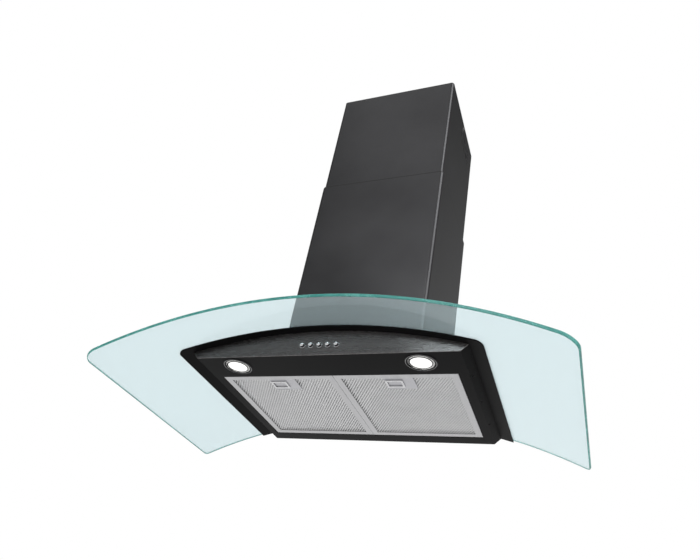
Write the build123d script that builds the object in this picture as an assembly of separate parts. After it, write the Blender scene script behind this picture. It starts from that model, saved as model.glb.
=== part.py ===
"""Wall-mounted range hood with a curved glass canopy, in millimetres.

X runs to the right seen from the front, Y runs into the wall, Z runs up. The wall is the plane y = 0, the
middle of the hood is x = 0, and z = 0 is the flat underside of the canopy.
"""

import os
from math import asin, cos, degrees, radians, sin, sqrt

from build123d import *

# Curved glass
glass_width = 900.0
glass_depth = 490.0
glass_thickness = 6.0
glass_bend = 1000.0  # radius of its lower face, about an axis along Y
glass_rise = 54.0  # its lower face on the centre line, above the canopy's underside
glass_front_corner = 28.0
glass_back_corner = 9.0
glass_wall_gap = 1.0

# Frame and seals that hold the glass
frame_side_margin = 26.0  # it sticks out round the canopy
frame_front_margin = 17.0
frame_thickness = 2.0
frame_front_corner = 15.0
seal_thickness = 1.0
seal_width = 9.0
seal_inset = 1.5
clamp_land = 8.5  # ring round the cut-out, outside the bolts: seals and fan box flange
clamp_reach = 14.0
clamp_back = 2.0
cutout_side_inset = 6.0  # inside the fan box's walls
cutout_front_inset = 14.0
cutout_back = 14.0
cutout_corner = 12.0

# Bolts through the glass
bolt_radius = 2.5
bolt_head_radius = 4.5
bolt_head_height = 3.0
bolt_hole_clearance = 0.25
bolt_rows = 3
bolt_back = 40.0
bolt_front_inset = 14.0
bolt_side_gap = 9.5  # outside the fan box's walls
bush_wall = 1.75
nut_height = 4.0
nut_radius = 4.6
curve_gap = 0.04  # flat ends stand off the bent layers by this much

# Canopy shell
canopy_width = 520.0
canopy_depth = 386.0
canopy_flare = 13.0  # the sides lean out at 45 degrees over this height
sheet = 1.2
panel_sheet = 1.0
canopy_lip = 14.0
rivet_radius = 2.0
rivet_head_radius = 3.5
rivet_head_height = 0.8
rivet_tail = 1.5
rivet_tail_radius = 3.0
rivets_across = 5
rivets_along = 3
rivet_pitch_across = 100.0
rivet_pitch_along = 100.0
safety_hole_radius = 3.0
safety_hole_inset = 80.0
safety_hole_z = 17.0

# Filter cassettes, side by side in one opening
bay_border = 18.0
lamp_strip = 78.0
bay_back = 33.0
filter_gap = 0.8
filter_lift = 0.4
filter_thickness = 9.5
filter_border = 13.0
filter_wall = 1.0
filter_lip = 0.8
tab_width = 30.0
tab_reach = 9.0
tab_thickness = 1.2
tab_offset = 70.0
seat_gap = 0.3
mesh_thickness = 0.8
mesh_fit = 0.2
mesh_pitch = 14.0
mesh_hole = 9.4
mesh_scrap = 100.0  # pieces of mesh smaller than this are left out

# Filter latch
latch_offset = -4.0
latch_plate_left = 19.0
latch_plate_right = 39.0
latch_plate_depth = 42.0
latch_travel = 5.0
latch_engagement = 4.0
latch_bar_width = 16.0
latch_bar_thickness = 1.2
latch_side_gap = 0.4
latch_wall = 1.4
handle_width = 34.0
handle_depth = 26.0
handle_bar = 3.4
handle_height = 2.1
handle_inset = 6.5
keeper_length = 8.0
latch_tip_share = 0.7  # of the bar's thickness is chamfered off its tip
post_width = 10.0
post_depth = 3.0
latch_spring_radius = 1.6
latch_spring_wire = 0.4
latch_spring_turns = 5

# Lamps
lamp_side_inset = 75.0
lamp_front_inset = 35.0
lamp_radius = 26.5
lamp_height = 18.0
lamp_wall = 1.5
lamp_bezel_radius = 29.5
lamp_bezel_height = 1.6
lamp_window = 19.5
lamp_ledge = 0.8
lens_thickness = 2.0
lamp_board_thickness = 1.6
lamp_chip = 8.0
lamp_hole_gap = 0.4
lamp_clip_reach = 3.0
lamp_clip_height = 4.0

# Push buttons
button_pitch = 17.0
button_z = 21.0
button_radius = 4.2
button_reach = 7.2
button_dome = 3.0
button_stem = 8.0
button_travel = 3.5
button_clearance = 0.08
bezel_radius = 5.6
bezel_height = 0.8
bezel_sleeve = 0.6
block_margin = 10.0
block_height = 20.0
block_back = 4.0
button_spring_radius = 3.0
button_spring_wire = 0.5
button_spring_turns = 5
button_spring_pressed = 3.6  # its length when the button is down

# Fan box on the wall
box_width = 248.0
box_front = 240.0
box_sheet = 1.0
box_flange = 10.0
box_top = 330.0
flange_thickness = 2.0
plate_thickness = 2.0
plate_rise = 100.0
hang_hole_radius = 4.0
hang_hole_side_inset = 29.0
hang_hole_drop = 25.0
lid_thickness = 1.2

# Fan
fan_y = -102.0
fan_z = 178.0
scroll_gap = 9.0  # round the impeller at the tongue
scroll_growth = 26.0
scroll_start_angle = 60.0
scroll_sweep = 240.0
scroll_wall = 2.0
scroll_half_width = 72.0
inlet_overlap = 17.0  # of the inlet over the impeller's blades
inlet_lip = 6.0
impeller_radius = 75.0
impeller_half_length = 60.0
blade_count = 36
blade_depth = 12.0
blade_thickness = 1.1
blade_lean = 22.0
disc_thickness = 1.5  # of each half
ring_width = 3.0
ring_length = 3.0
hub_radius = 14.0
hub_half_length = 12.0
shaft_radius = 4.0
shaft_inset = 2.0
shaft_right = 22.0
running_clearance = 0.05
shaft_nut_radius = 7.5
shaft_nut_length = 6.0
motor_radius = 44.0
motor_gap = 3.0  # to the fan box's left wall
motor_length = 64.0
motor_boss_radius = 14.0
motor_boss_length = 4.0
motor_edge = 5.0
bracket_ring_wall = 4.0
bracket_ring_gap = 8.0  # to the scroll's side
bracket_ring_length = 10.0
bracket_arm_width = 14.0
bracket_arm_inset = 4.0
bracket_arm_thickness = 2.0
bracket_leg_radius = 5.0
bracket_legs = 3

# Screws of the fan box
screw_radius = 2.0
screw_head_radius = 3.8
screw_head_height = 1.8
screw_end = 3.0

# Controls
control_depth = 56.0
control_back = 8.0
control_drop = 14.0
control_height = 104.0
control_reach = 34.0
control_wall = 2.0
board_thickness = 1.6
board_standoff = 3.0
board_margin = 3.0
board_gap = 1.0
relay_height = 14.0
relay_width = 16.0
relay_length = 20.0
terminal_height = 10.0
terminal_width = 20.0
terminal_length = 10.0
board_part_inset = 8.0
control_rim = 2.0
standoff_radius = 2.5
capacitor_radius = 12.0
capacitor_length = 50.0
capacitor_edge = 1.5
gland_radius = 10.0
gland_cap_radius = 8.0
gland_height = 18.0
gland_thread_radius = 8.0
gland_thread_length = 7.0
gland_bore = 4.25

# Outlet collar and non-return damper
collar_radius = 74.0
collar_wall = 2.5
collar_height = 60.0
collar_flange_reach = 14.0
collar_flange_thickness = 3.0
collar_screw_reach = 7.0
pin_radius = 1.5
pin_height = 13.0
pin_bite = 1.3
stop_width = 3.0
stop_thickness = 2.0
flap_gap = 0.8
flap_thickness = 1.2
knuckle_radius = 3.0
knuckle_length = 24.0
knuckle_gap = 1.0
flap_root = 3.6

# Duct covers
cover_side_gap = 28.0  # outside the fan box
cover_front_gap = 18.0
cover_sheet = 1.0
cover_fold = 8.0
cover_return = 12.0
cover_seam = 564.0
cover_seal_width = 4.0
cover_step = 3.0  # the upper cover is this much smaller on each face
upper_fold = 6.5
upper_back_gap = 1.5
upper_return = 11.0
upper_overlap = 80.0
cover_top = 884.0
glide_gap = 0.3
glide_width = 30.0
glide_height = 26.0
glide_top_gap = 6.0
glide_back = 60.0
glide_front_inset = 58.0
glide_side_inset = 67.5

# Vent slots in both sides of the upper cover
vent_slots = 18
vent_pitch = 5.4
vent_slot_width = 3.2
vent_slot_height = 42.0
vent_y = -88.0
vent_z = 831.0

# Ceiling bracket inside the top of the upper cover
bracket_sheet = 1.5
bracket_gap = 0.3
bracket_duct_gap = 6.0
bracket_side_drop = 26.0
bracket_side_length = 160.0
bracket_side_back = 40.0
bracket_wall_inset = 13.5
bracket_wall_drop = 34.0
bracket_hole_radius = 3.0
bracket_wall_hole_inset = 34.5
bracket_wall_hole_drop = 18.0
ceiling_hole_side_inset = 33.0
ceiling_hole_front_inset = 25.0
ceiling_hole_back = 28.0
cover_screw_y = -115.0
cover_screw_drop = 15.0
cover_screw_bite = 5.0
cover_screw_radius = 2.0
cover_screw_head_radius = 4.0
cover_screw_head_height = 1.8

# Radii of the layers that are bent with the glass, from below
bend_z = glass_rise - glass_bend
seal_bend = glass_bend - seal_thickness
frame_bend = seal_bend - frame_thickness
glass_top_bend = glass_bend + glass_thickness
upper_seal_bend = glass_top_bend + seal_thickness
flange_bend = upper_seal_bend + flange_thickness

# Places that follow from the sizes
canopy_half = canopy_width / 2
canopy_wide = canopy_half + canopy_flare
frame_half = canopy_wide + frame_side_margin
frame_depth = canopy_depth + frame_front_margin
safety_hole_x = canopy_half - safety_hole_inset
bay_width = canopy_width - 2 * bay_border
bay_front = canopy_depth - lamp_strip
lamp_x = canopy_half - lamp_side_inset
lamp_y = lamp_front_inset - canopy_depth
lamp_lens_z = lamp_ledge - lamp_bezel_height
button_x = [step * button_pitch for step in (-2, -1, 0, 1, 2)]
block_depth = button_stem + button_travel + button_spring_pressed + block_back

box_half = box_width / 2
bolt_x = box_half + bolt_side_gap
bolt_front = box_front - bolt_front_inset
bolt_row_y = [-bolt_back - row * (bolt_front - bolt_back) / (bolt_rows - 1) for row in range(bolt_rows)]
clamp_half = bolt_x + clamp_land
clamp_front = box_front + clamp_reach
cutout_half = box_half - cutout_side_inset
cutout_front = box_front - cutout_front_inset
lid_top = box_top + lid_thickness
plate_top = box_top + plate_rise
hang_hole_x = box_half - hang_hole_side_inset
hang_hole_z = plate_top - hang_hole_drop

scroll_start_radius = impeller_radius + scroll_gap
scroll_end_radius = scroll_start_radius + scroll_growth
inlet_radius = impeller_radius - inlet_overlap
motor_end = motor_gap + box_sheet - box_half
motor_left = motor_end + motor_boss_length
motor_right = motor_left + motor_length
shaft_left = motor_end + shaft_inset
bracket_ring_right = -scroll_half_width - scroll_wall - bracket_ring_gap
bracket_ring_left = bracket_ring_right - bracket_ring_length
bracket_arm_left = bracket_ring_left + bracket_arm_inset
bracket_leg_circle = scroll_start_radius - bracket_leg_radius

outlet_y = fan_y + (scroll_start_radius * cos(radians(scroll_start_angle)) - scroll_end_radius) / 2
pin_z = lid_top + pin_height
collar_flange_radius = collar_radius + collar_flange_reach
collar_screw_circle = collar_radius + collar_screw_reach

cover_half = box_half + cover_side_gap
cover_depth = box_front + cover_front_gap
upper_half = cover_half - cover_step
upper_depth = cover_depth - cover_step
glide_side_y = [-glide_back, glide_front_inset - cover_depth]
glide_front_x = cover_half - glide_side_inset
bracket_half = upper_half - cover_sheet
bracket_wall_half = bracket_half - bracket_wall_inset
bracket_wall_hole_x = bracket_wall_half - bracket_wall_hole_inset
bracket_duct_radius = collar_radius + bracket_duct_gap
bracket_side_front = bracket_side_back + bracket_side_length
ceiling_hole_x = bracket_half - ceiling_hole_side_inset
ceiling_hole_front = upper_depth - ceiling_hole_front_inset

far = 2000.0
over = 1.0  # cutting tools reach past the face by this much
drill = 30.0  # length of the tools that drill one layer

filter_width = bay_width / 2 - 1.5 * filter_gap
filter_back = bay_back + sheet + filter_lift
filter_front = bay_front - filter_gap
filter_top = filter_lift + filter_thickness
mesh_z = filter_lift + filter_lip
latch_bar_z = sheet + seat_gap
latch_front = filter_front - filter_border
latch_back = latch_plate_depth - latch_front
latch_slot_half = latch_bar_width / 2 + latch_side_gap
latch_top = latch_bar_z + latch_bar_thickness + seat_gap

control_right = box_half - box_sheet
control_left = control_right - control_reach
control_rear = -control_back
control_front = control_rear - control_depth
control_top = box_top - control_drop
control_bottom = control_top - control_height
board_face = control_right - control_wall - board_standoff - board_thickness


# ---------------------------------------------------------------- helpers
def block(x0, x1, y0, y1, z0, z1):
    """Box between two corners."""
    return Pos((x0 + x1) / 2, (y0 + y1) / 2, (z0 + z1) / 2) * Box(x1 - x0, y1 - y0, z1 - z0)


def upright(x, y, z0, z1, radius):
    """Cylinder along Z."""
    return Pos(x, y, (z0 + z1) / 2) * Cylinder(radius, z1 - z0)


def across(x0, x1, y, z, radius):
    """Cylinder along X."""
    return Pos((x0 + x1) / 2, y, z) * Rot(0, 90, 0) * Cylinder(radius, x1 - x0)


def inward(x, y0, y1, z, radius):
    """Cylinder along Y."""
    return Pos(x, (y0 + y1) / 2, z) * Rot(90, 0, 0) * Cylinder(radius, y1 - y0)


def arch_height(x, bend):
    """Height of a bent layer above the underside, at a distance from the centre line."""
    return bend_z + sqrt(bend**2 - x**2)


def below_bend(bend, front, back=0.0):
    """Everything under a bent layer, from the front to the back."""
    return inward(0, -front, -back, bend_z, bend)


def plan(half_width, front, back=0.0, front_corner=0.0, back_corner=0.0):
    """Rectangle seen from above, rounded at its front and back corners."""
    outline = Pos(0, -(front + back) / 2) * Rectangle(2 * half_width, front - back)
    if front_corner:
        outline = fillet(outline.vertices().group_by(Axis.Y)[0], front_corner)
    if back_corner:
        outline = fillet(outline.vertices().group_by(Axis.Y)[-1], back_corner)
    return outline


def prism(outline, z0, z1):
    """Outline seen from above, raised between two heights."""
    return extrude(Pos(0, 0, z0) * outline, amount=z1 - z0)


def bent_sheet(outline, lower, upper):
    """Sheet between two bends, cut to an outline seen from above."""
    slab = below_bend(upper, far / 2) - below_bend(lower, far / 2)
    return slab & prism(outline, -far / 2, far / 2)


def on_bend(x, y, bend):
    """Place on a bent layer, with Z square to it."""
    return Pos(x, y, arch_height(x, bend)) * Rot(0, degrees(asin(x / bend)), 0)


def bolt_places(bend):
    """Places of the six bolts that clamp the glass, on one of its layers."""
    return [on_bend(side * bolt_x, y, bend) for side in (-1, 1) for y in bolt_row_y]


def bolt_holes(radius):
    """Tools that drill one layer at the six bolts."""
    return [place * Cylinder(radius, drill) for place in bolt_places(glass_bend)]


def rivet_places():
    """Places on the frame's upper face where it is riveted to the canopy's lips."""
    middle = canopy_lip / 2
    places = []
    for step in range(rivets_across):
        x = (step - (rivets_across - 1) / 2) * rivet_pitch_across
        places.append((x, -canopy_depth + middle))
        if abs(x) > clamp_half + rivet_head_radius:
            places.append((x, -middle))
    for step in range(rivets_along):
        y = -canopy_depth / 2 + (step - (rivets_along - 1) / 2) * rivet_pitch_along
        places.append((canopy_wide - middle, y))
        places.append((middle - canopy_wide, y))
    return [on_bend(x, y, seal_bend) for x, y in places]


def channel(half_width, front, back, wall, fold, lip):
    """Plan of a folded cover: front, two sides and two lips turned in at the wall."""
    outer = plan(half_width, front, back, fold)
    inner = plan(half_width - wall, front - wall, back + wall, fold - wall)
    mouth = plan(half_width - lip, back + wall * 2, back)
    return outer - inner - mouth


def coil(radius, wire, turns, length):
    """Compression spring along Z, from z = 0."""
    path = Helix((length - 2 * wire) / turns, length - 2 * wire, radius - wire / 2)
    section = Plane(path @ 0, z_dir=path % 0) * Circle(wire / 2)
    return Pos(0, 0, wire) * sweep(section, path)


def hexagon(radius, height):
    """Nut or hex head along Z, from z = 0."""
    return extrude(RegularPolygon(radius, 6), amount=height)


# ---------------------------------------------------------------- glass and its frame
def make_glass():
    half_angle = degrees(asin(glass_width / 2 / glass_top_bend))
    outer = CenterArc((0, bend_z), glass_top_bend, 90 - half_angle, 2 * half_angle)
    inner = CenterArc((0, bend_z), glass_bend, 90 - half_angle, 2 * half_angle)
    right = Line(outer @ 0, inner @ 0)
    left = Line(outer @ 1, inner @ 1)
    section = make_face([outer, left, inner, right])
    glass = Pos(0, -glass_wall_gap, 0) * extrude(Plane.XZ * section, amount=glass_depth - glass_wall_gap)
    corners = glass.edges().filter_by(lambda edge: abs(edge.length - glass_thickness) < 0.01)
    glass = fillet(corners.group_by(Axis.Y)[0], glass_front_corner)
    corners = glass.edges().filter_by(lambda edge: abs(edge.length - glass_thickness) < 0.01)
    glass = fillet(corners.group_by(Axis.Y)[-1], glass_back_corner)
    glass -= prism(cutout_plan(), 0, far / 2)
    return glass - bolt_holes(bolt_radius + bush_wall)


def cutout_plan():
    return plan(cutout_half, cutout_front, cutout_back, cutout_corner, cutout_corner)


def clamp_plan():
    return plan(clamp_half, clamp_front, clamp_back, cutout_corner) - cutout_plan()


def make_support_frame():
    outline = plan(frame_half, frame_depth, 0, frame_front_corner) - cutout_plan()
    frame = bent_sheet(outline, frame_bend, seal_bend)
    frame -= bolt_holes(bolt_radius + bolt_hole_clearance)
    return frame - [place * Cylinder(rivet_radius, drill) for place in rivet_places()]


def make_glass_seal():
    half = frame_half - seal_inset
    front = frame_depth - seal_inset
    outer = plan(half, front, glass_wall_gap, frame_front_corner)
    hole = plan(half - seal_width, front - seal_width, 0, frame_front_corner - seal_width)
    rim = bent_sheet(outer - hole, seal_bend, glass_bend)
    collar = bent_sheet(clamp_plan(), seal_bend, glass_bend) - bolt_holes(bolt_radius + bolt_hole_clearance)
    return [rim, collar]


def make_upper_seal():
    ring = bent_sheet(clamp_plan(), glass_top_bend, upper_seal_bend)
    return ring - bolt_holes(bolt_radius + bolt_hole_clearance)


def make_glass_bushes():
    length = glass_thickness - curve_gap
    bush = Cylinder(bolt_radius + bush_wall, length) - Cylinder(bolt_radius + bolt_hole_clearance, length)
    middle = glass_bend + glass_thickness / 2
    reach = bolt_x * middle / glass_bend
    return [on_bend(side * reach, y, middle) * bush for side in (-1, 1) for y in bolt_row_y]


def make_glass_bolts():
    grip = flange_bend - frame_bend + nut_height
    bolts = []
    for place in bolt_places(glass_bend):
        rise = flange_bend - glass_bend
        head = Pos(0, 0, rise + bolt_head_height / 2) * Cylinder(bolt_head_radius, bolt_head_height)
        shank = Pos(0, 0, rise - grip / 2) * Cylinder(bolt_radius, grip)
        bolts.append(place * (head + shank))
    return bolts


def make_glass_nuts():
    nut = hexagon(nut_radius, nut_height) - Pos(0, 0, nut_height / 2) * Cylinder(bolt_radius, nut_height)
    drop = frame_bend - glass_bend - nut_height - curve_gap
    return [place * Pos(0, 0, drop) * nut for place in bolt_places(glass_bend)]


def make_frame_rivets():
    grip = frame_thickness + sheet + curve_gap
    rivets = []
    for place in rivet_places():
        head = Pos(0, 0, rivet_head_height / 2) * Cylinder(rivet_head_radius, rivet_head_height)
        shank = Pos(0, 0, -grip / 2) * Cylinder(rivet_radius, grip)
        tail = Pos(0, 0, -grip - rivet_tail / 2) * Cylinder(rivet_tail_radius, rivet_tail)
        rivets.append(place * (head + shank + tail))
    return rivets


# ---------------------------------------------------------------- canopy
def canopy_section(inset):
    """Cross-section of the canopy seen from the front, with the walls moved in."""
    slope = inset * (sqrt(2) - 1)
    low = canopy_half - slope
    wide = canopy_wide - inset
    high = canopy_flare + slope
    corners = [(-low, inset), (low, inset), (wide, high), (wide, far / 2), (-wide, far / 2), (-wide, high)]
    return Plane.XZ * make_face(Polyline(*corners, close=True))


def canopy_solid(inset, front, back, bend):
    """Canopy between two depths, under a bend."""
    body = Pos(0, -back, 0) * extrude(canopy_section(inset), amount=front - back)
    return body & below_bend(bend, front + over)


def make_canopy_shell():
    front = canopy_depth - panel_sheet
    shell = canopy_solid(0, front, 0, frame_bend)
    shell -= canopy_solid(sheet, front - sheet, sheet, frame_bend - sheet)
    mouth = canopy_wide - canopy_lip
    shell -= block(-mouth, mouth, canopy_lip - front, -canopy_lip, sheet * 2, far / 2)
    shell -= block(-bay_width / 2, bay_width / 2, -bay_front, -bay_back, -over, sheet + over)
    for side in (-1, 1):
        shell -= upright(side * lamp_x, lamp_y, -over, sheet + over, lamp_radius + lamp_hole_gap)
        shell -= inward(side * safety_hole_x, -sheet - over, over, safety_hole_z, safety_hole_radius)
    for x in button_x:
        shell -= inward(x, -front - over, sheet - front + over, button_z, button_sleeve_radius())
    return shell - [place * Cylinder(rivet_radius, drill) for place in rivet_places()]


def make_front_panel():
    panel = canopy_solid(0, canopy_depth, canopy_depth - panel_sheet, frame_bend)
    back = panel_sheet + over - canopy_depth
    for x in button_x:
        panel -= inward(x, -canopy_depth - over, back, button_z, button_sleeve_radius())
    return panel


# ---------------------------------------------------------------- push buttons
def button_sleeve_radius():
    return button_radius + button_clearance + bezel_sleeve


def block_front():
    """Face of the canopy's front wall that the switch block is fixed to."""
    return panel_sheet + sheet - canopy_depth


def make_button(x):
    front = -canopy_depth - button_reach
    button = inward(x, front, block_front() + button_stem, button_z, button_radius)
    return fillet(button.edges().group_by(Axis.Y)[0], button_dome)


def make_button_bezels():
    bezels = []
    for x in button_x:
        ring = inward(x, -canopy_depth - bezel_height, -canopy_depth, button_z, bezel_radius)
        ring = chamfer(ring.edges().group_by(Axis.Y)[0], bezel_height / 2)
        ring += inward(x, -canopy_depth, block_front(), button_z, button_sleeve_radius())
        bezels.append(ring - inward(x, -far / 2, 0, button_z, button_radius + button_clearance))
    return bezels


def make_switch_block():
    front = block_front()
    left = button_x[0] - block_margin
    right = button_x[-1] + block_margin
    half = block_height / 2
    switch = block(left, right, front, front + block_depth, button_z - half, button_z + half)
    for x in button_x:
        bottom = front + block_depth - block_back
        switch -= inward(x, front - over, bottom, button_z, button_radius + button_clearance)
    return switch


def make_button_springs():
    start = block_front() + button_stem
    length = block_depth - block_back - button_stem
    spring = coil(button_spring_radius, button_spring_wire, button_spring_turns, length)
    return [Pos(x, start, button_z) * Rot(-90, 0, 0) * spring for x in button_x]


# ---------------------------------------------------------------- lamps
def make_lamp_housing(x):
    housing = upright(x, lamp_y, -lamp_bezel_height, 0, lamp_bezel_radius)
    housing = chamfer(housing.edges().group_by(Axis.Z)[0], lamp_bezel_height / 2)
    housing += upright(x, lamp_y, 0, lamp_height, lamp_radius)
    housing -= upright(x, lamp_y, lamp_lens_z, lamp_height - lamp_wall, lamp_radius - lamp_wall)
    housing -= upright(x, lamp_y, -lamp_height, lamp_height / 2, lamp_window)
    reach = lamp_radius + lamp_clip_reach
    low = sheet + seat_gap
    clip = block(
        x - reach, x + reach, lamp_y - lamp_clip_height, lamp_y + lamp_clip_height, low, low + lamp_clip_height
    )
    return housing + (clip - upright(x, lamp_y, 0, lamp_height, lamp_radius - lamp_wall / 2))


def make_lamp_lenses():
    top = lamp_lens_z + lens_thickness
    return [upright(side * lamp_x, lamp_y, lamp_lens_z, top, lamp_radius - lamp_wall) for side in (-1, 1)]


def make_lamp_boards():
    top = lamp_height - lamp_wall
    boards = []
    for side in (-1, 1):
        board = upright(side * lamp_x, lamp_y, top - lamp_board_thickness, top, lamp_radius - lamp_wall)
        chip = block(
            side * lamp_x - lamp_chip / 2,
            side * lamp_x + lamp_chip / 2,
            lamp_y - lamp_chip / 2,
            lamp_y + lamp_chip / 2,
            top - lamp_board_thickness * 2,
            top - lamp_board_thickness,
        )
        boards.append(board + chip)
    return boards


# ---------------------------------------------------------------- filters
def filter_x(side):
    """Centre of the left (-1) or right (1) cassette."""
    return side * (filter_width + filter_gap) / 2


def make_filter_frame(x):
    half = filter_width / 2
    frame = block(x - half, x + half, -filter_front, -filter_back, filter_lift, filter_top)
    wall = filter_wall
    left = x - half
    right = x + half
    frame -= block(
        left + wall, right - wall, wall - filter_front, -filter_back - wall, mesh_z, filter_top - filter_lip
    )
    edge = filter_border
    frame -= block(left + edge, right - edge, edge - filter_front, -filter_back - edge, 0, filter_top + over)
    for side in (-1, 1):
        middle = x + side * tab_offset
        low = sheet + seat_gap
        frame += block(
            middle - tab_width / 2,
            middle + tab_width / 2,
            -filter_back - wall,
            tab_reach - bay_back,
            low,
            low + tab_thickness,
        )
    centre = x + latch_offset
    front = -filter_front - over
    back = wall + over - filter_front
    return frame - block(centre - latch_slot_half, centre + latch_slot_half, front, back, mesh_z, latch_top)


def mesh_outline(x):
    half = filter_width / 2 - filter_wall - mesh_fit
    front = filter_front - filter_wall - mesh_fit
    back = filter_back + filter_wall + mesh_fit
    outline = Pos(x, 0) * plan(half, front, back)
    across_count = int((2 * half - 2 * filter_border) / mesh_pitch)
    along_count = int((front - back - 2 * filter_border) / mesh_pitch)
    middle = -(front + back) / 2
    hole = Rot(0, 0, 45) * Rectangle(mesh_hole, mesh_hole)
    places = GridLocations(mesh_pitch, mesh_pitch, across_count, along_count)
    return outline - [Pos(x, middle) * place * hole for place in places]


def latch_window(x, half, back):
    """Strip of the cassette's lower mesh that the latch bar runs in."""
    centre = x + latch_offset
    return block(centre - half, centre + half, -far / 2, -back, 0, mesh_z + mesh_thickness + over)


def make_filter_mesh(x):
    outline = mesh_outline(x)
    low = prism(outline, mesh_z, mesh_z + mesh_thickness)
    high_z = filter_top - filter_lip - mesh_thickness
    high = prism(outline, high_z, high_z + mesh_thickness)
    low -= latch_window(x, latch_slot_half + latch_wall + mesh_fit, -latch_back - mesh_fit)
    return [solid for solid in low.solids() if solid.volume > mesh_scrap] + [high]


def make_latch_plate(x):
    centre = x + latch_offset
    post = post_width / 2
    plate = block(
        centre - latch_plate_left, centre + latch_plate_right, -latch_front, latch_back, filter_lift, mesh_z
    )
    for y in post_places():
        front = y - post_depth / 2 - latch_side_gap
        back = y + post_depth / 2 + latch_side_gap + latch_travel
        reach = post + latch_side_gap
        plate -= block(centre - reach, centre + reach, front, back, 0, mesh_z + over)
    outside = latch_slot_half + latch_wall
    middle = (post_places()[0] + post_places()[1]) / 2 - latch_travel / 2
    front = middle - keeper_length / 2
    back = middle + keeper_length / 2
    keeper = block(centre - outside, centre + outside, front, back, mesh_z, latch_top + latch_wall)
    keeper -= block(
        centre - latch_slot_half, centre + latch_slot_half, front - over, back + over, mesh_z, latch_top
    )
    stop = block(centre - post, centre + post, latch_back - latch_wall, latch_back, mesh_z, spring_top())
    return plate + keeper + stop


def post_places():
    """Where the two posts of the handle stand, front then back."""
    front = handle_inset + handle_bar / 2 - latch_front
    return front, front + handle_depth - handle_bar


def spring_top():
    return latch_bar_z + 2 * latch_spring_radius + latch_bar_thickness


def latch_spring_start():
    return post_places()[1] + post_depth / 2


def make_latch_slider(x):
    centre = x + latch_offset
    half = latch_bar_width / 2
    tip = -bay_front - latch_engagement
    end = latch_spring_start()
    top = latch_bar_z + latch_bar_thickness
    bar = block(centre - half, centre + half, tip, end, latch_bar_z, top)
    bar = chamfer(bar.edges().group_by(Axis.Y)[0].group_by(Axis.Z)[0], latch_bar_thickness * latch_tip_share)
    post = post_width / 2
    bar += block(centre - post, centre + post, end - post_depth, end, latch_bar_z, spring_top())
    low = filter_lift - seat_gap - handle_height
    high = filter_lift - seat_gap
    front = post_places()[0] - handle_bar / 2
    left = centre - handle_width / 2
    right = centre + handle_width / 2
    back = front + handle_depth
    rim = handle_bar
    ring = block(left, right, front, back, low, high)
    ring -= block(left + rim, right - rim, front + rim, back - rim, low - over, high + over)
    for y in post_places():
        bar += block(centre - post, centre + post, y - post_depth / 2, y + post_depth / 2, high, latch_bar_z)
    return bar + ring


def make_latch_spring(x):
    start = latch_spring_start()
    spring = coil(latch_spring_radius, latch_spring_wire, latch_spring_turns, latch_back - latch_wall - start)
    height = latch_bar_z + latch_bar_thickness + latch_spring_radius
    return Pos(x + latch_offset, start, height) * Rot(-90, 0, 0) * spring


# ---------------------------------------------------------------- fan box
def make_fan_box():
    box = block(-box_half, box_half, -box_front, -plate_thickness, 0, box_top)
    box -= block(
        box_sheet - box_half,
        box_half - box_sheet,
        box_sheet - box_front,
        -plate_thickness - box_sheet,
        0,
        box_top - box_sheet,
    )
    mouth = box_half - box_flange
    box -= block(-mouth, mouth, box_flange - box_front, 0, 0, box_top + over)
    box -= below_bend(flange_bend, box_front + over)
    for x, y in lid_screw_places():
        box -= upright(x, y, box_top - 2 * box_sheet, box_top + over, screw_radius)
    flange = bent_sheet(clamp_plan(), upper_seal_bend, flange_bend)
    return box + (flange - bolt_holes(bolt_radius + bolt_hole_clearance))


def make_back_plate():
    plate = block(-box_half, box_half, -plate_thickness, 0, 0, plate_top)
    plate -= inward(0, -plate_thickness - over, over, bend_z, flange_bend)
    for side in (-1, 1):
        plate -= inward(side * hang_hole_x, -plate_thickness - over, over, hang_hole_z, hang_hole_radius)
    return plate


def gland_place():
    """Middle of the cable gland, seen from above."""
    return (control_left + control_right) / 2, (control_front + control_rear) / 2


def make_fan_box_lid():
    lid = block(-box_half, box_half, -box_front, -plate_thickness, box_top, lid_top)
    lid -= upright(0, outlet_y, box_top - over, lid_top + over, collar_radius - collar_wall)
    gland_x, gland_y = gland_place()
    lid -= upright(gland_x, gland_y, box_top - over, lid_top + over, gland_thread_radius)
    for x, y in lid_screw_places():
        lid -= upright(x, y, box_top - over, lid_top + over, screw_radius)
    for x, y in collar_screw_places():
        lid -= upright(x, y, box_top - over, lid_top + over, screw_radius)
    return lid


def lid_screw_places():
    edge = box_flange / 2 + box_sheet / 2
    return [
        (side * (box_half - edge), y)
        for side in (-1, 1)
        for y in (edge - box_front, -box_front / 2, -plate_thickness - edge * 2)
    ]


def collar_screw_places():
    reach = collar_screw_circle / sqrt(2)
    return [(i * reach, outlet_y + j * reach) for i in (-1, 1) for j in (-1, 1)]


def screw(grip):
    """Pan-head screw along Z, seated at z = 0, shank down."""
    head = Pos(0, 0, screw_head_height / 2) * Cylinder(screw_head_radius, screw_head_height)
    return head + Pos(0, 0, -grip / 2) * Cylinder(screw_radius, grip)


def make_fan_screws():
    screws = [Pos(x, y, lid_top) * screw(lid_thickness + box_sheet + screw_end) for x, y in lid_screw_places()]
    top = lid_top + collar_flange_thickness
    grip = collar_flange_thickness + lid_thickness + screw_end
    screws += [Pos(x, y, top) * screw(grip) for x, y in collar_screw_places()]
    grip = -bracket_arm_left - scroll_half_width
    for y, z in bracket_leg_places():
        screws.append(Pos(bracket_arm_left, y, z) * Rot(0, -90, 0) * screw(grip))
    return screws


# ---------------------------------------------------------------- fan
def spiral_point(angle, offset):
    """Point of the scroll's wall in the fan's own plane, at an angle from the wall side."""
    share = (scroll_start_angle - angle) / scroll_sweep
    radius = scroll_start_radius + (scroll_end_radius - scroll_start_radius) * share + offset
    return fan_y + radius * cos(radians(angle)), fan_z + radius * sin(radians(angle))


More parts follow.
